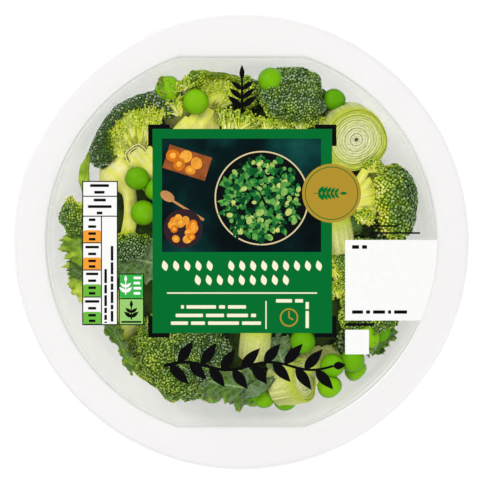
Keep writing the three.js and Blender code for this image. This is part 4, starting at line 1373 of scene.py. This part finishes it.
# %% Bed
MOUND = [(0, 2.9), (46, 2.9), (57, 7), (59, 20), (51, 31.5), (25, 32.5), (0, 31.5)]
BED_STEPS = 72

bed = spun("bed", MOUND, BED_STEPS, lambda: bpy.ops.mesh.subdivide(number_cuts=3))
points = read_points(bed)
points[:, :2] *= (1 + 0.04 * ripple(points, 23.0) + 0.02 * ripple(points, 6.0))[:, None]
points[:, 2] += 0.9 * ripple(points, 9.0) * (points[:, 2] > 25)
write_points(bed, keep_inside(points))
bpy.ops.object.shade_smooth()

shadow_green = Finish("leafy shade", Roughness=0.8, Specular_IOR_Level=0.1)
shadow_green.feed("Base Color", shadow_green.ramp(
    shadow_green.effect(mottle, Scale=140.0, Depth=0.35),
    (0.3, (6, 12, 4)), (0.8, (16, 28, 8)), (1.0, (46, 66, 16))))
shadow_green.feed("Normal", shadow_green.effect(grain, Scale=260.0, Height=0.0008))
hand_over(bed, shadow_green.material, "vegetables")

# %% [markdown]
# ## Printed fields
# The label is ink on the film, in flat fields that the CAD model already has as thin plates. Those
# plates stay and only get an ink finish: even, slightly satin, with a trace of the print's grain.
# Everything finer on them is drawn as flat bands, which are thin closed plates between a left and a
# right edge: plain bars, rules and leaf ornaments.

# %% Ink finishes
FILM_TOP = TRAY_HEIGHT + FILM_THICKNESS
INK = 0.15                # thickness of one printed layer
BAND_HEIGHT = 0.08


def ink(name, colour, roughness=0.5, speckle=0.02, scale=500.0, gloss=0.04):
    finish = Finish(name, Roughness=roughness, Specular_IOR_Level=gloss)
    flat = finish.ramp(finish.effect(mottle, Scale=40.0, Depth=0.02), (0.9, colour), (1.0, colour))
    finish.feed("Base Color", finish.scaled(flat, finish.effect(mottle, Scale=scale, Depth=speckle)))
    finish.feed("Normal", finish.effect(grain, Scale=2500.0, Height=0.00001))
    return finish


green_ink = ink("green ink", (0, 112, 47))
gold_ink = ink("gold ink", (180, 147, 43), roughness=0.42, gloss=0.1)
white_ink = ink("white ink", (252, 252, 251))
claim_ink = ink("light green ink", (156, 208, 116))
black_ink = ink("black ink", (10, 10, 12))
cream_ink = ink("cream ink", (250, 246, 214))
orange_ink = ink("orange ink", (250, 165, 60))
leaf_ink = ink("leaf green ink", (112, 190, 66))
bright_ink = ink("bright green ink", (58, 180, 74))
teal_ink = ink("dark teal ink", (12, 52, 44), speckle=0.4, scale=1300.0)
cloud = teal_ink.ramp(maths(teal_ink.tree, "MULTIPLY", teal_ink.effect(mottle, Scale=34.0, Depth=0.6), 0.5),
                      (0.3, (2, 5, 8)), (0.5, (3, 26, 28)), (0.62, (6, 52, 50)), (0.8, (20, 84, 76)))
teal_ink.feed("Base Color", teal_ink.scaled(cloud, teal_ink.effect(mottle, Scale=1500.0, Depth=0.3)))

PLATE_INKS = {
    "label_panel": green_ink, "label_picture": teal_ink, "label_badge": gold_ink, "claim_panel": claim_ink,
    "nutrition_table": white_ink, "date_panel": white_ink, "code_panel": white_ink,
    **{f"corner_mark_{i}": black_ink for i in range(1, 5)},
}
for node, finish in PLATE_INKS.items():
    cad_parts[node].material_slots[0].material = finish.material
    let_light_pass(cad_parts[node])
print("plates with ink:", len(PLATE_INKS))

# %% Flat bands of ink


def band(left, right, layer, closed=False, lift=0.0):
    """A thin plate between two edges of equal count, as points in the label's plane, on a print layer."""
    left, right = np.array(left, float), np.array(right, float)
    low = FILM_TOP + layer * INK
    high = low + BAND_HEIGHT + lift
    heights = (high, high, low, low)
    points = np.concatenate([np.column_stack([edge, np.full(len(edge), height)])
                             for edge, height in zip((left, right, left, right), heights)])
    count = len(left)
    here = np.arange(count if closed else count - 1)
    there = (here + 1) % count
    lt, rt, lb, rb = (np.stack([here, there]) + count * k for k in range(4))
    quads = [(rt[0], rt[1], lt[1], lt[0]), (lb[0], lb[1], rb[1], rb[0]), (lb[1], lb[0], lt[0], lt[1]),
             (rb[0], rb[1], rt[1], rt[0])]
    if not closed:
        last = count - 1
        ends = [(count, 0, 2 * count, 3 * count), (last, count + last, 3 * count + last, 2 * count + last)]
        quads += [tuple(np.array([v]) for v in end) for end in ends]
    faces = [np.stack([a, b, c], 1) for a, b, c, _ in quads]
    faces += [np.stack([a, c, d], 1) for a, _, c, d in quads]
    return points, np.concatenate(faces), {}


def turned_about(points, x, y, angle):
    c, s = math.cos(math.radians(angle)), math.sin(math.radians(angle))
    points = np.array(points, float)
    return np.stack([x + points[:, 0] * c - points[:, 1] * s, y + points[:, 0] * s + points[:, 1] * c], 1)


def leaf_shape(x, y, length, width, angle, layer, fullness=0.8, lift=0.0):
    """A leaf with its foot at x, y, pointing along the angle."""
    along = np.linspace(0, 1, 15)
    half = 0.5 * width * np.sin(math.pi * along ** fullness) + 0.012
    left = turned_about(np.stack([along * length, half], 1), x, y, angle)
    right = turned_about(np.stack([along * length, -half], 1), x, y, angle)
    return band(left, right, layer, lift=lift)


def disc_shape(x, y, radius, layer, squash=1.0, angle=0.0, lift=0.0):
    turn = np.linspace(math.pi, 0, 25)
    half = np.sin(turn) * radius * squash + 0.01
    left = turned_about(np.stack([np.cos(turn) * radius, half], 1), x, y, angle)
    right = turned_about(np.stack([np.cos(turn) * radius, -half], 1), x, y, angle)
    return band(left, right, layer, lift=lift)


def ring_shape(x, y, inner, outer, layer, lift=0.0, steps=72):
    turn = np.linspace(0, 2 * math.pi, steps, endpoint=False)
    way = np.stack([np.cos(turn), np.sin(turn)], 1)
    return band(way * inner + (x, y), way * outer + (x, y), layer, closed=True, lift=lift)


def bar_shape(left, bottom, right, top, layer, lift=0.0):
    """A bar with slightly rounded ends."""
    trim = 0.12 * min(top - bottom, right - left)
    xs = [left, left + trim, right - trim, right]
    upper = [(xs[0], top - trim), (xs[1], top), (xs[2], top), (xs[3], top - trim)]
    lower = [(xs[0], bottom + trim), (xs[1], bottom), (xs[2], bottom), (xs[3], bottom + trim)]
    return band(upper, lower, layer, lift=lift)


def stroke(points, width, layer, taper=1.0, lift=0.0):
    """A line of ink along points, whose width goes from `width` to `taper` times it."""
    points = np.array(points, float)
    way = np.gradient(points, axis=0)
    way /= np.linalg.norm(way, axis=1, keepdims=True)
    side = np.stack([-way[:, 1], way[:, 0]], 1) * (0.5 * width * np.linspace(1, taper, len(points)))[:, None]
    return band(points + side, points - side, layer, lift=lift)


def print_piece(name, parts, finish):
    piece = hand_over(mesh_from_arrays(name, parts, smooth=False), finish.material)
    let_light_pass(piece)
    return piece


print("a leaf of ink:", len(leaf_shape(0, 0, 5, 2, 30, 0)[1]), "triangles")

# %% [markdown]
# The panel has two rows of small upright leaves and, below them, rows of plain bars, all in cream.
# Thin rules part the rows. Places are given in pixels of the photograph.

# %% Cream print on the panel
PANEL_LAYER = 1
LEAF_ROWS = (              # height in the photograph, and runs of leaves as (from, to, count)
    (265.5, ((160, 216, 5), (226.5, 325, 9))), (279.8, ((193, 292, 9),)))
BAR_ROWS = (               # height in the photograph, and the two ends of each bar
    (306.9, (181, 184, 186.5, 216, 219, 225, 228, 246)), (315.4, (175.7, 203, 206, 224, 227, 248, 251, 256)),
    (323.1, (171, 188, 191, 205, 208, 239, 242, 261)), (300.8, (276, 292, 295, 303)))
LEAF_HEIGHT, LEAF_FATNESS = 10.8, 0.55
LEAF_LEAN = 14             # degrees
BAR_HEIGHT = 3.4


def leaf_row(y, first, last, count, height, layer):
    """Equal steps from first to last, each with a small leaf that leans a little; all in pixels."""
    parts = []
    step = (last - first) / count
    for i in range(count):
        x, foot = at_pixel(first + (i + 0.55) * step, y + height / 2)
        tall = height * PIXEL
        parts.append(leaf_shape(x, foot, tall, LEAF_FATNESS * tall, 90 + LEAF_LEAN, layer, fullness=0.9))
    return parts


def bars_at(y, edges, height, layer, lift=0.0):
    """A row of bars whose ends are given in pixels, two for each bar."""
    parts = []
    for first, last in zip(edges[::2], edges[1::2]):
        left, top = at_pixel(first, y - height / 2)
        right, bottom = at_pixel(last, y + height / 2)
        parts.append(bar_shape(left, bottom, right, top, layer, lift=lift))
    return parts


cream_parts = []
for y, runs in LEAF_ROWS:
    for first, last, count in runs:
        cream_parts += leaf_row(y, first, last, count, LEAF_HEIGHT, PANEL_LAYER)
for y, edges in BAR_ROWS:
    cream_parts += bars_at(y, edges, BAR_HEIGHT, PANEL_LAYER)
cream_parts.append(stroke([at_pixel(167, 293), at_pixel(317, 293)], 0.55, PANEL_LAYER))
cream_parts.append(stroke([at_pixel(266, 301), at_pixel(266, 329)], 0.5, PANEL_LAYER))
for first, last in ((302, 309), (311, 328)):
    cream_parts.append(stroke([at_pixel(307.2, first), at_pixel(307.2, last)], 1.3, PANEL_LAYER))
print_piece("panel_print", cream_parts, cream_ink)

# %% [markdown]
# A small gold clock says that the food cooks quickly. The round badge has a thin green ring and a
# sprig of leaves.

# %% Clock and badge
CLOCK = at_pixel(289, 317.5)
CLOCK_RADIUS = 3.6
BADGE_CENTRE, BADGE_RING = (35.2, 18.9), 10.4
BADGE_LAYER = 3

clock_parts = [ring_shape(*CLOCK, CLOCK_RADIUS - 0.6, CLOCK_RADIUS, PANEL_LAYER),
               stroke([CLOCK, (CLOCK[0], CLOCK[1] + 2.5)], 0.55, PANEL_LAYER),
               stroke([CLOCK, (CLOCK[0] + 1.7, CLOCK[1] - 0.9)], 0.55, PANEL_LAYER, lift=0.01)]
print_piece("clock_print", clock_parts, gold_ink)


def sprig(x, y, length, angle, pairs, leaf, layer, width=0.32, slim=0.42):
    """A straight stalk with pairs of leaves and one at its tip; the leaves shorten towards the tip."""
    turn = math.radians(angle)
    way = np.array([math.cos(turn), math.sin(turn)])
    parts = [stroke([(x, y), (x, y) + way * length], width * leaf / 4, layer, taper=0.6)]
    for i in range(pairs):
        foot = np.array([x, y]) + way * length * (0.16 + 0.7 * i / pairs)
        size = leaf * (1 - 0.35 * i / pairs)
        parts.append(leaf_shape(*foot, size, size * slim, angle + 52, layer, lift=0.004 * i + 0.002))
        parts.append(leaf_shape(*foot, size, size * slim, angle - 52, layer, lift=0.004 * i + 0.004))
    tip = (x, y) + way * length * 0.9
    parts.append(leaf_shape(*tip, leaf * 0.8, leaf * slim * 0.8, angle, layer, lift=0.03))
    return parts


badge_parts = [ring_shape(*BADGE_CENTRE, BADGE_RING - 0.35, BADGE_RING, BADGE_LAYER, steps=96)]
badge_parts += sprig(BADGE_CENTRE[0] - 7, BADGE_CENTRE[1], 11.5, 0, 5, 3.6, BADGE_LAYER)
print_piece("badge_print", badge_parts, green_ink)

# %% [markdown]
# Two plain black ornaments are printed straight on the film: an upright sprig at the top, and at the
# bottom a long garland of leaves on a wavy stalk.

# %% Black ornaments
TOP_SPRIG = at_pixel(242, 113)
GARLAND_FROM, GARLAND_TO = at_pixel(164, 366), at_pixel(333, 366)
GARLAND_LEAVES = 15
GARLAND_LEAF_WIDTH = 4.1
FOOD_LAYER = 0

black_parts = sprig(*TOP_SPRIG, 14.5, 90, 3, 7.2, FOOD_LAYER, width=0.7, slim=0.34)
run = np.linspace(0, 1, 60)
wave = np.stack([GARLAND_FROM[0] + run * (GARLAND_TO[0] - GARLAND_FROM[0]),
                 GARLAND_FROM[1] + 1.5 * np.sin(run * 4 * math.pi)], 1)
black_parts.append(stroke(wave, 1.3, FOOD_LAYER, taper=0.7))
for i in range(GARLAND_LEAVES):
    foot = wave[2 + int(i * 55 / GARLAND_LEAVES)]
    side = 1 if i % 2 else -1
    size = 9.2 + 1.6 * scatter(i + 5)
    angle = side * (46 + 10 * scatter(i))
    black_parts.append(leaf_shape(*foot, size, GARLAND_LEAF_WIDTH, angle, FOOD_LAYER, lift=0.003 * i + 0.003))
black_parts.append(leaf_shape(*wave[-1], 5, 3, 5, FOOD_LAYER, lift=0.06))
print_piece("film_ornaments", black_parts, black_ink)

# %% [markdown]
# The table keeps its boxes: two wide ones on top, then a column of cells in pairs of white and a
# traffic-light colour, beside a tall column. Each box holds thin dark bars.

# %% Nutrition table and claim cells
TABLE = dict(left=-62, right=-48.1, bottom=-32.5, top=23.7, split=-54.5)
WIDE_ROWS = (196.3, 216.2)                 # the lines under the two wide boxes, in pixels
COLOURED = ((230.2, 242.8, "orange"), (257.5, 270, "orange"), (284.3, 297, "green"), (311.8, 324.3, "green"))
CELL_MIDDLE = 92.2                         # across, in pixels
LINE = 0.42
TABLE_LAYER = 1


def px_y(y):
    return at_pixel(0, y)[1]


def frame_of(left, bottom, right, top, layer):
    half = LINE / 2
    return [bar_shape(left - half, bottom - half, right + half, bottom + half, layer),
            bar_shape(left - half, top - half, right + half, top + half, layer, lift=0.004),
            bar_shape(left - half, bottom - half, left + half, top + half, layer, lift=0.002),
            bar_shape(right - half, bottom - half, right + half, top + half, layer, lift=0.003)]


t = TABLE
line_parts = frame_of(t["left"] + 0.2, t["bottom"] + 0.2, t["right"] - 0.2, t["top"] - 0.2, TABLE_LAYER)
for y in WIDE_ROWS:
    low, high = px_y(y) - LINE / 2, px_y(y) + LINE / 2
    line_parts.append(bar_shape(t["left"], low, t["right"], high, TABLE_LAYER, lift=0.005))
split_top = px_y(WIDE_ROWS[1])
line_parts.append(
    bar_shape(t["split"] - LINE / 2, t["bottom"], t["split"] + LINE / 2, split_top, TABLE_LAYER, lift=0.006))
coloured = {"orange": [], "green": []}
for i, (top_y, bottom_y, colour) in enumerate(COLOURED):
    top, bottom = px_y(top_y), px_y(bottom_y)
    coloured[colour].append(bar_shape(t["left"] + 0.35, bottom, t["split"] - 0.1, top, TABLE_LAYER))
    low, high = bottom - LINE / 2, bottom + LINE / 2
    line_parts.append(bar_shape(t["left"], low, t["split"], high, TABLE_LAYER, lift=0.007))
    for up, width in ((-10.4, 6.5 + 8 * scatter(i + 2)), (-3.6, 8), (3.4, 7.6), (9.0, 6.6)):
        ends = (CELL_MIDDLE - width / 2, CELL_MIDDLE + width / 2)
        line_parts += bars_at(top_y + up, ends, 2.6, TABLE_LAYER, lift=0.02)
for y, first, last in ((185.6, 90.2, 109), (192.3, 94.4, 104.6), (200.1, 93.7, 105.9), (206.6, 88, 111.6),
                       (213, 96.8, 102.5)):
    line_parts += bars_at(y, (first, last), 2.8, TABLE_LAYER)
for x, first, last in ((105.7, 269, 323), (112.1, 246, 323)):
    start = first
    while start < last:
        stop = min(last, start + 4 + 12 * scatter(start))
        left, top = at_pixel(x - 1.3, start)
        right, bottom = at_pixel(x + 1.3, stop)
        line_parts.append(bar_shape(left, bottom, right, top, TABLE_LAYER, lift=0.02))
        start = stop + 1.6

CLAIM = dict(left=-47.8, right=-37.9, bottom=-32.5, top=-12.4, split=-22.2)
CLAIM_LAYER = TABLE_LAYER + 0.6
c = CLAIM
bright_parts = [bar_shape(c["left"] + 0.1, c["split"], c["right"] - 0.1, c["top"] - 0.1, TABLE_LAYER)]
for bottom, top in ((c["split"], c["top"] - 0.2), (c["bottom"] + 0.2, c["split"])):
    line_parts += frame_of(c["left"] + 0.2, bottom, c["right"] - 0.2, top, TABLE_LAYER)
centre_x = (c["left"] + c["right"]) / 2
line_parts += sprig(centre_x, c["bottom"] + 2.2, 5.2, 90, 2, 3.6, TABLE_LAYER, width=0.7)
foot = c["bottom"] + 0.9
line_parts.append(bar_shape(centre_x - 3.9, foot, centre_x + 3.9, foot + 0.7, TABLE_LAYER, lift=0.02))
claim_parts = sprig(centre_x - 2.2, c["split"] + 1.6, 5.6, 90, 2, 3.2, CLAIM_LAYER, width=0.7)
for row in range(4):
    y = c["top"] - 1.7 - row * 2.0
    end = centre_x + 3.9 - 0.5 * scatter(row)
    claim_parts.append(bar_shape(centre_x + 0.9, y - 0.5, end, y + 0.5, CLAIM_LAYER))

print_piece("table_lines", line_parts, black_ink)
print_piece("table_orange_cells", coloured["orange"], orange_ink)
print_piece("table_green_cells", coloured["green"], leaf_ink)
print_piece("claim_cell", bright_parts, bright_ink)
print_piece("claim_print", claim_parts, white_ink)

# %% Small dark print in the date field and on the film
dark_parts = bars_at(247, (352, 359, 362, 367), 3.6, TABLE_LAYER)
dark_parts += bars_at(312, (352, 363, 366, 370, 373, 385, 388, 391, 394, 407), 3.4, TABLE_LAYER)
dark_parts += bars_at(324.5, (345, 374), 2.8, FOOD_LAYER)
dark_parts += bars_at(226, (370, 398), 1.8, FOOD_LAYER) + bars_at(233, (370, 420), 1.8, FOOD_LAYER)
print_piece("film_small_print", dark_parts, black_ink)

# %% [markdown]
# The picture on the panel is a plain one made for this part: a bowl of chopped greens seen from
# above on a dark ground, with a wooden spoon and a few carrot coins. The greens are many small leaf
# and pea shapes, each a hair higher than the last, with their colour from a mark.

# %% The panel's picture
PICTURE_LAYER = 2
BOWL = (8.0, 17.0)
BOWL_RADIUS = 18.4
GREENS = 460

rim_ink = ink("bowl rim ink", (226, 208, 160))
bowl_ink = ink("bowl shade ink", (8, 14, 16))
rim_parts = [ring_shape(*BOWL, BOWL_RADIUS - 0.55, BOWL_RADIUS, PICTURE_LAYER, lift=0.002)]
print_piece("picture_rim", rim_parts, rim_ink)
print_piece("picture_bowl", [disc_shape(*BOWL, BOWL_RADIUS - 0.5, PICTURE_LAYER)], bowl_ink)

picture_rng = np.random.default_rng(8)
picture_parts = []
for i in range(GREENS):
    away = (BOWL_RADIUS - 2.6) * math.sqrt(picture_rng.uniform())
    turn = picture_rng.uniform(0, 360)
    x, y = on_ring(away, turn, BOWL)
    lift = 0.01 + 0.0002 * i
    kind = picture_rng.uniform()
    if kind < 0.62:
        size = picture_rng.uniform(1.6, 4.2)
        width, angle = size * picture_rng.uniform(0.35, 0.7), picture_rng.uniform(0, 360)
        made = leaf_shape(x, y, size, width, angle, PICTURE_LAYER, lift=lift)
        hue = picture_rng.uniform(0.0, 0.75)
    elif kind < 0.86:
        made = disc_shape(x, y, picture_rng.uniform(0.6, 0.85), PICTURE_LAYER, lift=lift)
        hue = picture_rng.uniform(0.5, 0.8)
    else:
        size, angle = picture_rng.uniform(0.9, 1.7), picture_rng.uniform(0, 180)
        made = disc_shape(x, y, size, PICTURE_LAYER, 0.75, angle, lift)
        hue = picture_rng.uniform(0.8, 1.0)
    picture_parts.append((made[0], made[1], {"hue": np.full(len(made[0]), hue)}))
greens_ink = Finish("picture greens ink", Roughness=0.5, Specular_IOR_Level=0.04)
hues = greens_ink.ramp(greens_ink.mark("hue"), (0.0, (4, 40, 22)), (0.3, (10, 84, 40)), (0.55, (40, 130, 52)),
                       (0.8, (120, 180, 84)), (1.0, (212, 216, 120)))
greens_ink.feed("Base Color", greens_ink.scaled(hues, greens_ink.effect(mottle, Scale=900.0, Depth=0.3)))
print_piece("picture_greens", picture_parts, greens_ink)

BOARD_FROM, BOARD_TO, BOARD_WIDTH = (-29.3, 33.4), (-12.8, 28.2), 9.5
SPOON_FROM, SPOON_TO = (-14.6, 8.5), (-29.2, 17.5)
DISH, DISH_RADIUS = (-22.6, 5.2), 7.6
wood_ink = ink("wood ink", (150, 82, 40), speckle=0.4, scale=260.0)
board_parts = [stroke([BOARD_FROM, BOARD_TO], BOARD_WIDTH, PICTURE_LAYER)]
print_piece("picture_board", board_parts, wood_ink)
spoon_parts = [stroke([SPOON_FROM, SPOON_TO], 1.0, PICTURE_LAYER, taper=0.8, lift=0.002),
               disc_shape(SPOON_TO[0] + 0.4, SPOON_TO[1] + 0.2, 3.0, PICTURE_LAYER, 0.62, 148, lift=0.004)]
spoon_ink = ink("pale wood ink", (196, 140, 84), speckle=0.2, scale=500.0)
print_piece("picture_spoon", spoon_parts, spoon_ink)
dish_parts = [disc_shape(*DISH, DISH_RADIUS, PICTURE_LAYER, lift=0.03)]
dish_ink = ink("dish ink", (52, 34, 40), speckle=0.2, scale=900.0)
print_piece("picture_dish", dish_parts, dish_ink)
COINS = [(-26.6, 33.6, 2.7), (-21.6, 33.2, 2.6), (-24.2, 30.2, 2.5), (-17.4, 30.6, 2.4), (-19.8, 27.9, 2.0)]
coin_rng = np.random.default_rng(5)
for i in range(16):
    x, y = on_ring((DISH_RADIUS - 2.6) * math.sqrt(coin_rng.uniform()), coin_rng.uniform(0, 360), DISH)
    COINS.append((x, y, coin_rng.uniform(1.4, 2.2)))
coin_parts = []
for i, (x, y, r) in enumerate(COINS):
    coin = disc_shape(x, y, r, PICTURE_LAYER, 0.88, 40 * i, lift=0.035 + 0.002 * i)
    core = disc_shape(x, y, r * 0.45, PICTURE_LAYER, 0.88, 40 * i, lift=0.036 + 0.002 * i)
    for (points, faces, _), hue in ((coin, 0.3 + 0.5 * scatter(i)), (core, 0.75 + 0.25 * scatter(i + 4))):
        coin_parts.append((points, faces, {"hue": np.full(len(points), hue)}))
coin_ink = Finish("carrot ink", Roughness=0.5, Specular_IOR_Level=0.04)
hues = coin_ink.ramp(coin_ink.mark("hue"), (0.0, (190, 84, 14)), (0.5, (228, 134, 30)), (1.0, (250, 184, 70)))
coin_ink.feed("Base Color", coin_ink.scaled(hues, coin_ink.effect(mottle, Scale=700.0, Depth=0.25)))
print_piece("picture_coins", coin_parts, coin_ink)
print("picture made with", GREENS, "greens")
